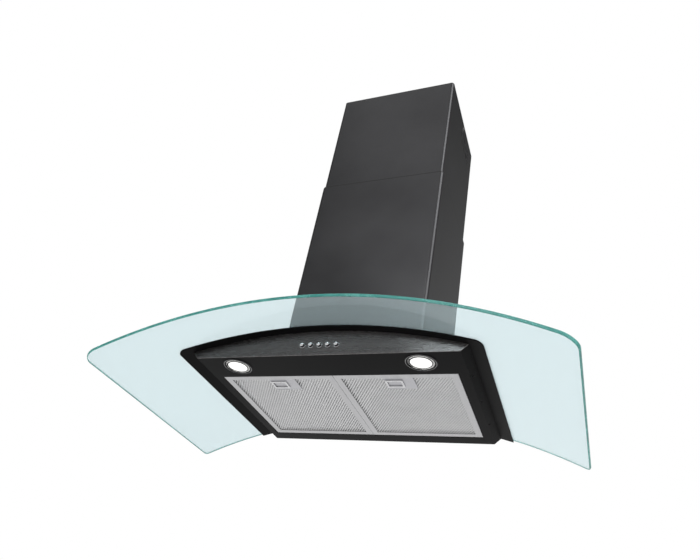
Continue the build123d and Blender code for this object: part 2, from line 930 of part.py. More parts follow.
def scroll_face(offset):
    """Section of the scroll, from its tongue round to its mouth at the lid."""
    step = scroll_sweep / 4
    arcs = []
    for turn in range(4):
        start = scroll_start_angle - turn * step
        points = [spiral_point(start - share * step, offset) for share in (0, 0.5, 1)]
        arcs.append(ThreePointArc(*points))
    tongue = arcs[0] @ 0
    front = arcs[-1] @ 1
    walls = Polyline(front, (front.X, box_top), (tongue.X, box_top), tongue)
    return Plane.YZ * make_face([*arcs, walls])


def make_scroll_band():
    band = extrude(scroll_face(scroll_wall), amount=scroll_half_width, both=True)
    return band - extrude(scroll_face(0), amount=scroll_half_width + over, both=True)


def make_scroll_side(side):
    inner = side * scroll_half_width
    outer = side * (scroll_half_width + scroll_wall)
    lip_end = outer + side * inlet_lip
    plate = Pos(inner, 0, 0) * extrude(scroll_face(scroll_wall), amount=side * scroll_wall)
    plate += across(min(outer, lip_end), max(outer, lip_end), fan_y, fan_z, inlet_radius + scroll_wall)
    plate -= across(-far / 2, far / 2, fan_y, fan_z, inlet_radius)
    if side < 0:
        for y, z in bracket_leg_places():
            plate -= across(outer - over, inner + over, y, z, screw_radius)
    return plate


def make_impeller_half(side):
    """One of the two mouldings of the double-inlet wheel, back to back on the shaft."""
    inner = impeller_radius - blade_depth
    blades = Sketch()
    for step in range(blade_count):
        turn = step * 360 / blade_count
        middle = Pos(inner + blade_depth / 2 - blade_thickness / 2, 0)
        blade = middle * Rot(0, 0, blade_lean) * Rectangle(blade_depth, blade_thickness)
        blades += Rot(0, 0, turn) * blade
    ring_middle = impeller_half_length - ring_length / 2
    wheel = extrude(blades, amount=ring_middle)
    wheel += Pos(0, 0, disc_thickness / 2) * Cylinder(impeller_radius - blade_thickness, disc_thickness)
    ring = Cylinder(impeller_radius, ring_length) - Cylinder(impeller_radius - ring_width, ring_length)
    wheel += Pos(0, 0, ring_middle) * ring
    wheel += Pos(0, 0, hub_half_length / 2) * Cylinder(hub_radius, hub_half_length)
    wheel -= Cylinder(shaft_radius, 4 * hub_half_length)
    half = Pos(0, fan_y, fan_z) * Rot(0, 90, 0) * wheel
    return half if side > 0 else mirror(half, about=Plane.YZ)


def make_motor_shaft():
    return across(shaft_left, shaft_right, fan_y, fan_z, shaft_radius)


def make_shaft_nut():
    nut = hexagon(shaft_nut_radius, shaft_nut_length)
    nut -= Pos(0, 0, shaft_nut_length / 2) * Cylinder(shaft_radius, shaft_nut_length)
    return Pos(hub_half_length, fan_y, fan_z) * Rot(0, 90, 0) * nut


def make_motor():
    motor = across(motor_left, motor_right, fan_y, fan_z, motor_radius)
    motor = fillet(motor.edges().filter_by(GeomType.CIRCLE), motor_edge)
    left = motor_left - motor_boss_length
    right = motor_right + motor_boss_length
    motor += across(left, right, fan_y, fan_z, motor_boss_radius)
    return motor - across(-far / 2, far / 2, fan_y, fan_z, shaft_radius + running_clearance)


def bracket_leg_places():
    angles = [90 + step * 360 / bracket_legs for step in range(bracket_legs)]
    return [
        (fan_y + bracket_leg_circle * cos(radians(angle)), fan_z + bracket_leg_circle * sin(radians(angle)))
        for angle in angles
    ]


def make_motor_bracket():
    bracket = across(bracket_ring_left, bracket_ring_right, fan_y, fan_z, motor_radius + bracket_ring_wall)
    arm_right = bracket_arm_left + bracket_arm_thickness
    length = bracket_leg_circle
    for step in range(bracket_legs):
        arm = block(0, bracket_arm_thickness, 0, length, -bracket_arm_width / 2, bracket_arm_width / 2)
        turn = 90 + step * 360 / bracket_legs
        bracket += Pos(bracket_arm_left, fan_y, fan_z) * Rot(turn, 0, 0) * arm
    for y, z in bracket_leg_places():
        bracket += across(bracket_arm_left, -scroll_half_width - scroll_wall, y, z, bracket_leg_radius)
        bracket += across(bracket_arm_left, arm_right, y, z, bracket_arm_width / 2)
        bracket -= across(-far / 2, 0, y, z, screw_radius)
    return bracket - across(-far / 2, 0, fan_y, fan_z, motor_radius)


# ---------------------------------------------------------------- controls
def make_control_box():
    wall = control_wall
    inside = control_right - wall
    tray = block(control_left, control_right, control_front, control_rear, control_bottom, control_top)
    tray -= block(
        control_left - over,
        inside,
        control_front + wall,
        control_rear - wall,
        control_bottom + wall,
        control_top - wall,
    )
    for y, z in board_corners():
        tray += across(inside - board_standoff, inside, y, z, standoff_radius)
    return tray


def board_corners():
    inset = control_wall + board_margin + standoff_radius
    heights = (control_bottom + inset, control_top - inset)
    return [(y, z) for y in (control_front + inset, control_rear - inset) for z in heights]


def make_control_board():
    edge = control_wall + board_gap
    front = control_front + edge
    back = control_rear - edge
    top = control_top - edge
    board = block(board_face, board_face + board_thickness, front, back, control_bottom + edge, top)
    relay_front = front + board_part_inset
    relay_top = top - board_part_inset
    board += block(
        board_face - relay_height,
        board_face,
        relay_front,
        relay_front + relay_width,
        relay_top - relay_length,
        relay_top,
    )
    return board + block(
        board_face - terminal_height,
        board_face,
        back - terminal_width,
        back,
        relay_top - terminal_length,
        relay_top,
    )


def make_control_lid():
    low = control_bottom
    lid = block(control_left - control_wall, control_left, control_front, control_rear, low, control_top)
    edge = control_wall + mesh_fit
    rim = block(
        control_left,
        control_left + control_rim,
        control_front + edge,
        control_rear - edge,
        low + edge,
        control_top - edge,
    )
    inner = edge + control_wall
    rim -= block(
        control_left,
        control_left + control_rim,
        control_front + inner,
        control_rear - inner,
        low + inner,
        control_top - inner,
    )
    return lid + rim


def make_capacitor():
    low = control_bottom + control_wall
    middle = (control_front + control_rear) / 2
    can = upright(board_face - capacitor_radius, middle, low, low + capacitor_length, capacitor_radius)
    return fillet(can.edges().group_by(Axis.Z)[-1], capacitor_edge)


def make_cable_gland():
    x, y = gland_place()
    gland = Pos(x, y, lid_top) * hexagon(gland_radius, gland_height / 2)
    gland += upright(x, y, lid_top, lid_top + gland_height, gland_cap_radius)
    gland += upright(x, y, lid_top - gland_thread_length, lid_top, gland_thread_radius)
    return gland - upright(x, y, 0, far / 2, gland_bore)


# ---------------------------------------------------------------- outlet and damper
def make_outlet_collar():
    inner = collar_radius - collar_wall
    collar = upright(0, outlet_y, lid_top, lid_top + collar_height, collar_radius)
    collar += upright(0, outlet_y, lid_top, lid_top + collar_flange_thickness, collar_flange_radius)
    collar -= upright(0, outlet_y, lid_top - over, lid_top + collar_height + over, inner)
    top = pin_z - flap_thickness / 2 - seat_gap
    ring = upright(0, outlet_y, top - stop_thickness, top, inner)
    collar += ring - upright(0, outlet_y, 0, far / 2, inner - stop_width)
    collar -= inward(0, outlet_y - inner - pin_bite, outlet_y + inner + pin_bite, pin_z, pin_radius)
    for x, y in collar_screw_places():
        collar -= upright(x, y, 0, far / 2, screw_radius)
    return collar


def make_damper_pin():
    reach = collar_radius - collar_wall + pin_bite
    return inward(0, outlet_y - reach, outlet_y + reach, pin_z, pin_radius)


def make_damper_flap(side):
    radius = collar_radius - collar_wall - flap_gap
    half = flap_thickness / 2
    plate = upright(0, outlet_y, pin_z - half, pin_z + half, radius)
    edge = side * flap_root
    plate &= block(min(edge, side * far), max(edge, side * far), -far, far, pin_z - over, pin_z + over)
    pitch = knuckle_length + knuckle_gap
    first = -2 * pitch + (pitch if side > 0 else 0)
    for step in (0, 2):
        start = outlet_y + first + step * pitch + knuckle_gap / 2
        end = start + knuckle_length
        plate += inward(0, start, end, pin_z, knuckle_radius)
        plate += block(min(0, edge), max(0, edge), start, end, pin_z - half, pin_z + half)
    return plate - inward(0, -far / 2, 0, pin_z, pin_radius + running_clearance)


# ---------------------------------------------------------------- duct covers
def make_lower_cover():
    outline = channel(cover_half, cover_depth, 0, cover_sheet, cover_fold, cover_return)
    cover = prism(outline, 0, cover_seam)
    return cover - below_bend(upper_seal_bend, cover_depth + over)


def make_cover_seal():
    strip = plan(cover_half, cover_depth, glass_wall_gap, cover_fold)
    strip -= plan(cover_half - cover_seal_width, cover_depth - cover_seal_width, 0, cover_fold / 2)
    return bent_sheet(strip, glass_top_bend, upper_seal_bend)


def make_cover_glides():
    thickness = cover_step - cover_sheet - glide_gap
    top = cover_seam - glide_top_gap
    low = top - glide_height
    inner = cover_half - cover_sheet
    face = cover_depth - cover_sheet
    half = glide_width / 2
    glides = []
    for side in (-1, 1):
        wall = side * inner
        pad = wall - side * thickness
        for y in glide_side_y:
            glides.append(block(min(wall, pad), max(wall, pad), y - half, y + half, low, top))
        x = side * glide_front_x
        glides.append(block(x - half, x + half, -face, thickness - face, low, top))
    return glides


def make_upper_cover():
    outline = channel(upper_half, upper_depth, upper_back_gap, cover_sheet, upper_fold, upper_return)
    cover = prism(outline, cover_seam - upper_overlap, cover_top)
    slot = SlotOverall(vent_slot_height, vent_slot_width, rotation=90)
    slots = [Pos(vent_y, vent_z) * place * slot for place in GridLocations(vent_pitch, 1, vent_slots, 1)]
    cover -= extrude(Plane.YZ * (Sketch() + slots), amount=cover_half, both=True)
    height = cover_top - cover_screw_drop
    return cover - across(-cover_half, cover_half, cover_screw_y, height, cover_screw_radius)


def make_ceiling_bracket():
    side = bracket_half
    wall = bracket_wall_half
    low = cover_top - bracket_sheet
    front = upper_depth - cover_sheet - bracket_gap
    back = upper_back_gap + cover_sheet + bracket_gap
    bracket = block(-side, side, -front, -back, low, cover_top)
    bracket += block(-wall, wall, -back - over, 0, low, cover_top)
    bracket += block(-wall, wall, -bracket_sheet, 0, cover_top - bracket_wall_drop, cover_top)
    inner = side - bracket_sheet
    corner = side - upper_fold
    drop = cover_top - bracket_side_drop
    for turn in (-1, 1):
        left, right = sorted((turn * side, turn * inner))
        bracket += block(left, right, -bracket_side_front, -bracket_side_back, drop, cover_top)
        left, right = sorted((turn * corner, turn * far))
        bracket -= block(left, right, -front, upper_fold - front, low - over, cover_top + over)
        hole_z = cover_top - bracket_wall_hole_drop
        bracket -= inward(turn * bracket_wall_hole_x, -bracket_sheet - over, over, hole_z, bracket_hole_radius)
        for y in (-ceiling_hole_front, -ceiling_hole_back):
            bracket -= upright(turn * ceiling_hole_x, y, low - over, cover_top + over, bracket_hole_radius)
    bracket -= upright(0, outlet_y, low - over, cover_top + over, bracket_duct_radius)
    return bracket - across(-side, side, cover_screw_y, cover_top - cover_screw_drop, cover_screw_radius)


def make_bracket_screws():
    z = cover_top - cover_screw_drop
    screws = []
    for side in (-1, 1):
        head_end = side * (upper_half + cover_screw_head_height)
        seat = side * upper_half
        tip = side * (upper_half - cover_sheet - bracket_sheet - cover_screw_bite)
        head = across(min(seat, head_end), max(seat, head_end), cover_screw_y, z, cover_screw_head_radius)
        screws.append(head + across(min(tip, seat), max(tip, seat), cover_screw_y, z, cover_screw_radius))
    return screws


# ---------------------------------------------------------------- the assembly
parts = {
    "glass_canopy": make_glass(),
    "support_frame": make_support_frame(),
    "glass_seal": make_glass_seal(),
    "upper_seal": make_upper_seal(),
    "glass_bushes": make_glass_bushes(),
    "glass_bolts": make_glass_bolts(),
    "glass_nuts": make_glass_nuts(),
    "frame_rivets": make_frame_rivets(),
    "canopy_shell": make_canopy_shell(),
    "front_panel": make_front_panel(),
    "button_bezels": make_button_bezels(),
    "button_springs": make_button_springs(),
    "switch_block": make_switch_block(),
    "lamp_lenses": make_lamp_lenses(),
    "lamp_boards": make_lamp_boards(),
    "fan_box": make_fan_box(),
    "back_plate": make_back_plate(),
    "fan_box_lid": make_fan_box_lid(),
    "fan_screws": make_fan_screws(),
    "scroll_band": make_scroll_band(),
    "motor_shaft": make_motor_shaft(),
    "shaft_nut": make_shaft_nut(),
    "motor": make_motor(),
    "motor_bracket": make_motor_bracket(),
    "control_box": make_control_box(),
    "control_board": make_control_board(),
    "control_lid": make_control_lid(),
    "capacitor": make_capacitor(),
    "cable_gland": make_cable_gland(),
    "outlet_collar": make_outlet_collar(),
    "damper_pin": make_damper_pin(),
    "duct_cover_lower": make_lower_cover(),
    "cover_seal": make_cover_seal(),
    "cover_glides": make_cover_glides(),
    "duct_cover_upper": make_upper_cover(),
    "ceiling_bracket": make_ceiling_bracket(),
    "bracket_screws": make_bracket_screws(),
}
for name, x in zip(("lamp", "off", "low", "medium", "high"), button_x):
    parts[f"button_{name}"] = make_button(x)
for name, side in (("left", -1), ("right", 1)):
    parts[f"lamp_housing_{name}"] = make_lamp_housing(side * lamp_x)
    parts[f"scroll_side_{name}"] = make_scroll_side(side)
    parts[f"impeller_{name}"] = make_impeller_half(side)
    parts[f"damper_flap_{name}"] = make_damper_flap(side)
    parts[f"filter_frame_{name}"] = make_filter_frame(filter_x(side))
    parts[f"filter_mesh_{name}"] = make_filter_mesh(filter_x(side))
    parts[f"latch_plate_{name}"] = make_latch_plate(filter_x(side))
    parts[f"latch_slider_{name}"] = make_latch_slider(filter_x(side))
    parts[f"latch_spring_{name}"] = make_latch_spring(filter_x(side))

os.makedirs("parts", exist_ok=True)
for name, shape in parts.items():
    solids = shape if isinstance(shape, list) else [shape]
    flat = [solid for piece in solids for solid in piece.solids()]
    export_step(Compound(children=flat), os.path.join("parts", f"{name}.step"))
print(len(parts), "nodes")
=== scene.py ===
# Curved glass range hood, dressed for a studio picture. Metres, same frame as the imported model.
import math
import bpy
import bmesh
from mathutils import Matrix, Vector
from mathutils.geometry import delaunay_2d_cdt


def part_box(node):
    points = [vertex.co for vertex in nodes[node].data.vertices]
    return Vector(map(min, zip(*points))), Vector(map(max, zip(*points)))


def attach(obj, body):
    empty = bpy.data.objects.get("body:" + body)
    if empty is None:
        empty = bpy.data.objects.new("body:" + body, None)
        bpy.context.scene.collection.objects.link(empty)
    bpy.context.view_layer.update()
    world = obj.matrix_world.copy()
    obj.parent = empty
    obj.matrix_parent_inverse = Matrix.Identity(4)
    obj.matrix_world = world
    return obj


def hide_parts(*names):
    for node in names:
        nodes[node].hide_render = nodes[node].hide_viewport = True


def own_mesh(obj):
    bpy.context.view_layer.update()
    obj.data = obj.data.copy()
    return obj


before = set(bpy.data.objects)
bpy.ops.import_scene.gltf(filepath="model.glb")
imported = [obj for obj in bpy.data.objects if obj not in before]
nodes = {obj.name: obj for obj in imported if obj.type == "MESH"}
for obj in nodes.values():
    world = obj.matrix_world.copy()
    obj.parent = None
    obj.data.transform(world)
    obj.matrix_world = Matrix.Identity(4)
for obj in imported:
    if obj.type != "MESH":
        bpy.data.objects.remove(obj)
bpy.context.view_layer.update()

sides = ("left", "right")
buttonNames = ("lamp", "off", "low", "medium", "high")

# camera, at the photograph's viewing angle
cameraValues = {
    "place": (0.47773, -1.30153, -0.55691),
    "yaw": -0.468,
    "pitch": 0.512,
    "roll": 0.209,
    "focalLength": 645.1,  # in pixels of the photograph
    "centre": (326.7, 345.4),  # the pixel straight ahead of the lens
    "imageSize": (700, 560),
    "sensorWidth": 36,
    "farthest": 30,
}


def setCamera(values):
    yaw, pitch, roll = values["yaw"], values["pitch"], values["roll"]
    level = math.cos(pitch)
    ahead = Vector((math.sin(yaw) * level, math.cos(yaw) * level, math.sin(pitch)))
    levelRight = Vector((math.cos(yaw), -math.sin(yaw), 0))
    levelUp = levelRight.cross(ahead)
    right = math.cos(roll) * levelRight + math.sin(roll) * levelUp
    up = -math.sin(roll) * levelRight + math.cos(roll) * levelUp
    width, height = values["imageSize"]
    lens = bpy.data.cameras.new("photoCamera")
    lens.sensor_width = values["sensorWidth"]
    lens.lens = values["focalLength"] * values["sensorWidth"] / width
    lens.shift_x = (width / 2 - values["centre"][0]) / width
    lens.shift_y = (values["centre"][1] - height / 2) / width
    lens.clip_end = values["farthest"]
    camera = bpy.data.objects.new("photoCamera", lens)
    turn = Matrix((right, up, -ahead)).transposed().to_4x4()
    camera.matrix_world = Matrix.Translation(values["place"]) @ turn
    bpy.context.scene.collection.objects.link(camera)
    bpy.context.scene.camera = camera


setCamera(cameraValues)
print("camera set")


# small helpers for node trees
def setInputs(tree, node, inputs):
    # a socket is linked, anything else is the input's own value
    for key, value in inputs.items():
        if isinstance(value, bpy.types.NodeSocket):
            tree.links.new(value, node.inputs[key])
        else:
            node.inputs[key].default_value = value


def addNode(tree, kind, inputs=None, **settings):
    # the settings come first, because they decide which inputs the node has
    made = tree.nodes.new(kind)
    for key, value in settings.items():
        setattr(made, key, value)
    setInputs(tree, made, inputs or {})
    return made


def maths(tree, operation, first, second=0.0, **settings):
    inputs = {0: first, 1: second}
    return addNode(tree, "ShaderNodeMath", inputs, operation=operation, **settings).outputs[0]


def newGroup(name, kind, inputs, outputs):
    # gives the tree, the sockets that it gets and the sockets that it puts out
    group = bpy.data.node_groups.new(name, kind)
    for label, (socket, value) in inputs.items():
        made = group.interface.new_socket(label, in_out="INPUT", socket_type=socket)
        if value is not None:
            made.default_value = value
    for label, socket in outputs.items():
        group.interface.new_socket(label, in_out="OUTPUT", socket_type=socket)
    start = group.nodes.new("NodeGroupInput")
    end = group.nodes.new("NodeGroupOutput")
    return group, start.outputs, end.inputs


number = "NodeSocketFloat"
vector = "NodeSocketVector"
colour = "NodeSocketColor"

grainValues = {
    "fineDetail": 2.0, "fineRoughness": 0.6, "broadDetail": 3.0, "broadRoughness": 0.5,
    "darkest": 0.7, "lightest": 1.3,  # sums of the two noises that give the end colours
}


def makeGrainGroup(values):
    # streaks or specks of colour and gloss, with a height for a bump
    inputs = {
        "Vector": (vector, None),
        "Fine": (number, 900.0),
        "Broad": (number, 6.0),
        "Dark": (colour, (0.1, 0.1, 0.1, 1)),
        "Light": (colour, (0.2, 0.2, 0.2, 1)),
        "Smooth": (number, 0.3),
        "Rough": (number, 0.4),
    }
    outputs = {"Color": colour, "Roughness": number, "Height": number}
    group, get, put = newGroup("surfaceGrain", "ShaderNodeTree", inputs, outputs)

    def noise(scale, detail, roughness):
        return addNode(group, "ShaderNodeTexNoise", {
            "Vector": get["Vector"], "Scale": scale, "Detail": detail, "Roughness": roughness,
        }).outputs[0]

    fine = noise(get["Fine"], values["fineDetail"], values["fineRoughness"])
    broad = noise(get["Broad"], values["broadDetail"], values["broadRoughness"])
    spread = addNode(group, "ShaderNodeMapRange", {
        "Value": maths(group, "ADD", fine, broad),
        "From Min": values["darkest"],
        "From Max": values["lightest"],
    }, clamp=True).outputs[0]
    blend = addNode(group, "ShaderNodeMix", {
        0: spread, 6: get["Dark"], 7: get["Light"],
    }, data_type="RGBA")
    gloss = addNode(group, "ShaderNodeMapRange", {
        "Value": spread, "To Min": get["Smooth"], "To Max": get["Rough"],
    })
    group.links.new(blend.outputs[2], put["Color"])
    group.links.new(gloss.outputs[0], put["Roughness"])
    group.links.new(fine, put["Height"])
    return group


foldValues = {
    "samples": 4,
    "flat": 0.995, "folded": 0.9,  # how well the rounded normal matches the plain one
    "breakupDetail": 2.0, "breakupLeast": 0.35, "breakupMost": 0.65,
}


def makeFoldGroup(values):
    # mask of the edges and folds, where a finish is rubbed and where its lighter colour paints a
    # highlight
    inputs = {"Width": (number, 0.001), "Breakup": (number, 250.0), "Amount": (number, 0.5)}
    group, get, put = newGroup("foldWearAndHighlight", "ShaderNodeTree", inputs, {"Mask": number})
    rounded = addNode(
        group, "ShaderNodeBevel", {"Radius": get["Width"]}, samples=values["samples"]
    )
    plain = addNode(group, "ShaderNodeNewGeometry")
    match = addNode(group, "ShaderNodeVectorMath", {
        0: rounded.outputs[0], 1: plain.outputs["Normal"],
    }, operation="DOT_PRODUCT")
    edge = addNode(group, "ShaderNodeMapRange", {
        "Value": match.outputs["Value"], "From Min": values["flat"], "From Max": values["folded"],
    })
    place = addNode(group, "ShaderNodeTexCoord")
    rubAndHighlight = addNode(group, "ShaderNodeTexNoise", {
        "Vector": place.outputs["Object"], "Scale": get["Breakup"], "Detail": values["breakupDetail"],
    })
    cut = addNode(group, "ShaderNodeMapRange", {
        "Value": rubAndHighlight.outputs[0], "From Min": values["breakupLeast"], "From Max": values["breakupMost"],
    })
    edgeWearAndHighlight = maths(group, "MULTIPLY", edge.outputs[0], cut.outputs[0])
    mask = maths(group, "MULTIPLY", edgeWearAndHighlight, get["Amount"], use_clamp=True)
    group.links.new(mask, put["Mask"])
    return group


grainGroup = makeGrainGroup(grainValues)
foldGroup = makeFoldGroup(foldValues)

# what a finish has where it says nothing else: stretch scales the grain along X, Y and Z, and
# glance is the share of the shine that is left at a flat angle
plainFinish = {
    "stretch": (1, 1, 1), "gloss": 0.5, "glance": 1.0, "brushed": 0.0, "brushedTurn": 0.25,
    "bumpHeight": 0.0005, "bevelSamples": 4,
}
# colours are linear; the wear colour on the folds and edges is partly wear and partly a painted
# highlight; edge is how wide that band is, and rub is how much of it
finishes = {
    "coverPaint": {
        "dark": (0.041, 0.041, 0.043), "light": (0.068, 0.068, 0.071), "wearAndHighlight": (0.45, 0.45, 0.46),
        "smooth": 0.30, "rough": 0.38, "metal": 0.8, "fine": 1500, "broad": 5,
        "bump": 0.04, "edge": 0.0004, "rubAndHighlight": 0.1, "gloss": 0.3, "glance": 0.85,
    },
    "bodyPaint": {
        "dark": (0.003, 0.003, 0.0033), "light": (0.006, 0.006, 0.0064),
        "wearAndHighlight": (0.06, 0.06, 0.064),
        "smooth": 0.36, "rough": 0.46, "metal": 0.0, "fine": 1300, "broad": 6,
        "bump": 0.04, "edge": 0.001, "rubAndHighlight": 0.5, "gloss": 0.035,
    },
    "panelSteel": {
        "dark": (0.148, 0.14, 0.14), "light": (0.190, 0.18, 0.18), "wearAndHighlight": (0.55, 0.52, 0.52),
        "smooth": 0.25, "rough": 0.31, "metal": 1.0, "fine": 1600, "broad": 60,
        "bump": 0.02, "edge": 0.0006, "rubAndHighlight": 0.7, "stretch": (0.03, 1, 1), "brushed": 0.85,
    },
    "zincSheet": {
        "dark": (0.42, 0.43, 0.44), "light": (0.56, 0.57, 0.58), "wearAndHighlight": (0.7, 0.7, 0.72),
        "smooth": 0.28, "rough": 0.45, "metal": 1.0, "fine": 90, "broad": 25,
        "bump": 0.02, "edge": 0.0008, "rubAndHighlight": 0.4,
    },
    # its nearly white wear colour along the frame edges is partly a painted highlight
    "frameAluminium": {
        "dark": (0.46, 0.46, 0.47), "light": (0.60, 0.60, 0.61), "wearAndHighlight": (0.95, 0.95, 0.95),
        "smooth": 0.32, "rough": 0.48, "metal": 1.0, "fine": 1400, "broad": 60,
        "bump": 0.05, "edge": 0.0008, "rubAndHighlight": 0.8, "stretch": (1, 0.06, 1),
    },
    "meshAluminium": {
        "dark": (0.68, 0.68, 0.69), "light": (0.82, 0.82, 0.82), "wearAndHighlight": (0.95, 0.95, 0.95),
        "smooth": 0.30, "rough": 0.45, "metal": 1.0, "fine": 500, "broad": 20,
        "bump": 0.02, "edge": 0.0001, "rubAndHighlight": 0.2,
    },
    # kept darker than the outer mesh, as painted shade in the gaps between its strands
    "foilAluminium": {
        "dark": (0.54, 0.54, 0.545), "light": (0.70, 0.70, 0.71), "wearAndHighlight": (0.8, 0.8, 0.8),
        "smooth": 0.35, "rough": 0.55, "metal": 1.0, "fine": 400, "broad": 45,
        "bump": 0.1, "edge": 0.0001, "rubAndHighlight": 0.1,
    },
    "latchAluminium": {
        "dark": (0.43, 0.43, 0.45), "light": (0.52, 0.52, 0.54), "wearAndHighlight": (0.9, 0.9, 0.9),
        "smooth": 0.26, "rough": 0.36, "metal": 1.0, "fine": 1200, "broad": 50,
        "bump": 0.03, "edge": 0.0005, "rubAndHighlight": 0.8, "stretch": (0.1, 1, 1),
    },
    # its light wear colour over wide edges paints highlight lines along the grip bars
    "gripAluminium": {
        "dark": (0.62, 0.62, 0.63), "light": (0.72, 0.72, 0.73), "wearAndHighlight": (0.95, 0.95, 0.95),
        "smooth": 0.24, "rough": 0.34, "metal": 1.0, "fine": 1200, "broad": 50,
        "bump": 0.03, "edge": 0.0012, "rubAndHighlight": 0.8, "stretch": (0.1, 1, 1),
    },
    "screwSteel": {
        "dark": (0.50, 0.50, 0.50), "light": (0.62, 0.62, 0.62), "wearAndHighlight": (0.8, 0.8, 0.8),
        "smooth": 0.18, "rough": 0.30, "metal": 1.0, "fine": 700, "broad": 80,
        "bump": 0.02, "edge": 0.0004, "rubAndHighlight": 0.5,
    },
    "buttonChrome": {
        "dark": (0.52, 0.52, 0.53), "light": (0.62, 0.62, 0.63), "wearAndHighlight": (0.9, 0.9, 0.9),
        "smooth": 0.04, "rough": 0.10, "metal": 1.0, "fine": 900, "broad": 90,
        "bump": 0.005, "edge": 0.0003, "rubAndHighlight": 0.2,
    },
    "trimSteel": {
        "dark": (0.20, 0.20, 0.20), "light": (0.32, 0.32, 0.32), "wearAndHighlight": (0.5, 0.5, 0.5),
        "smooth": 0.10, "rough": 0.18, "metal": 1.0, "fine": 900, "broad": 60,
        "bump": 0.01, "edge": 0.0002, "rubAndHighlight": 0.2,
    },
    "blackPlastic": {
        "dark": (0.012, 0.012, 0.013), "light": (0.02, 0.02, 0.021), "wearAndHighlight": (0.06, 0.06, 0.06),
        "smooth": 0.35, "rough": 0.5, "metal": 0.0, "fine": 1200, "broad": 30,
        "bump": 0.08, "edge": 0.0005, "rubAndHighlight": 0.4,
    },
    "bezelPlastic": {
        "dark": (0.006, 0.006, 0.007), "light": (0.010, 0.010, 0.011), "wearAndHighlight": (0.05, 0.05, 0.05),
        "smooth": 0.32, "rough": 0.45, "metal": 0.0, "fine": 900, "broad": 30,
        "bump": 0.01, "edge": 0.0005, "rubAndHighlight": 0.1, "gloss": 0.08,
    },
    "greyPlastic": {
        "dark": (0.10, 0.11, 0.115), "light": (0.14, 0.15, 0.155), "wearAndHighlight": (0.25, 0.25, 0.25),
        "smooth": 0.4, "rough": 0.55, "metal": 0.0, "fine": 1100, "broad": 20,
        "bump": 0.06, "edge": 0.0006, "rubAndHighlight": 0.3,
    },
    "whitePlastic": {
        "dark": (0.62, 0.62, 0.60), "light": (0.70, 0.70, 0.68), "wearAndHighlight": (0.78, 0.78, 0.77),
        "smooth": 0.35, "rough": 0.45, "metal": 0.0, "fine": 900, "broad": 20,
        "bump": 0.03, "edge": 0.0005, "rubAndHighlight": 0.3,
    },
    "boardGreen": {
        "dark": (0.012, 0.07, 0.03), "light": (0.02, 0.11, 0.05), "wearAndHighlight": (0.3, 0.25, 0.1),
        "smooth": 0.25, "rough": 0.4, "metal": 0.0, "fine": 400, "broad": 60,
        "bump": 0.03, "edge": 0.0003, "rubAndHighlight": 0.3,
    },
    "paleFoam": {
        "dark": (0.42, 0.42, 0.41), "light": (0.55, 0.55, 0.54), "wearAndHighlight": (0.62, 0.62, 0.61),
        "smooth": 0.7, "rough": 0.85, "metal": 0.0, "fine": 1300, "broad": 60,
        "bump": 0.2, "edge": 0.0004, "rubAndHighlight": 0.2, "gloss": 0.2,
    },
    "blackRubber": {
        "dark": (0.010, 0.010, 0.010), "light": (0.018, 0.018, 0.018), "wearAndHighlight": (0.05, 0.05, 0.05),
        "smooth": 0.55, "rough": 0.7, "metal": 0.0, "fine": 1000, "broad": 40,
        "bump": 0.1, "edge": 0.0004, "rubAndHighlight": 0.3, "gloss": 0.3,
    },
}


def newMaterial(name):
    material = bpy.data.materials.new(name)
    material.use_nodes = True
    return material, material.node_tree, material.node_tree.nodes["Principled BSDF"]


def addGrain(tree, values, place):
    return addNode(tree, "ShaderNodeGroup", {
        "Vector": place,
        "Fine": values["fine"],
        "Broad": values["broad"],
        "Dark": (*values["dark"], 1),
        "Light": (*values["light"], 1),
        "Smooth": values["smooth"],
        "Rough": values["rough"],
    }, node_tree=grainGroup).outputs


def makeFinish(name, values):
    values = {**plainFinish, **values}
    material, tree, shader = newMaterial(name)
    place = addNode(tree, "ShaderNodeTexCoord").outputs["Object"]
    stretch = addNode(tree, "ShaderNodeMapping", {"Vector": place, "Scale": values["stretch"]})
    grain = addGrain(tree, values, stretch.outputs[0])
    wearAndHighlight = addNode(tree, "ShaderNodeGroup", {
        "Width": values["edge"], "Amount": values["rubAndHighlight"],
    }, node_tree=foldGroup)
    # the folds and edges take the lighter wear colour, partly as rubbed finish and partly as a
    # painted highlight
    blend = addNode(tree, "ShaderNodeMix", {
        0: wearAndHighlight.outputs["Mask"], 6: grain["Color"], 7: (*values["wearAndHighlight"], 1),
    }, data_type="RGBA")
    rounded = addNode(
        tree, "ShaderNodeBevel", {"Radius": values["edge"]}, samples=values["bevelSamples"]
    )
    bump = addNode(tree, "ShaderNodeBump", {
        "Strength": values["bump"],
        "Distance": values["bumpHeight"],
        "Height": grain["Height"],
        "Normal": rounded.outputs[0],
    })
    setInputs(tree, shader, {
        "Base Color": blend.outputs[2],
        "Roughness": grain["Roughness"],
        "Normal": bump.outputs[0],
        "Metallic": values["metal"],
        "Specular IOR Level": values["gloss"],
        "Specular Tint": (values["glance"], values["glance"], values["glance"], 1),
        "Anisotropic": values["brushed"],
        "Anisotropic Rotation": values["brushedTurn"],
    })
    return material


# glass: a faint green body with a little dust that only changes its gloss
glassValues = {
    "dark": (0.825, 0.95, 0.975), "light": (0.83325, 0.9595, 0.98475),
    "smooth": 0.0, "rough": 0.004, "fine": 84.0, "broad": 14.0,
    "ior": 1.25, "clear": 0.8, "shine": 0.2,
}
# the ground edges of the glass
edgeValues = {
    "dark": (0.05, 0.31, 0.27), "light": (0.13, 0.48, 0.42),
    "smooth": 0.15, "rough": 0.35, "fine": 700.0, "broad": 30.0,
    "ior": 1.25, "clear": 0.35, "shine": 0.5,
}


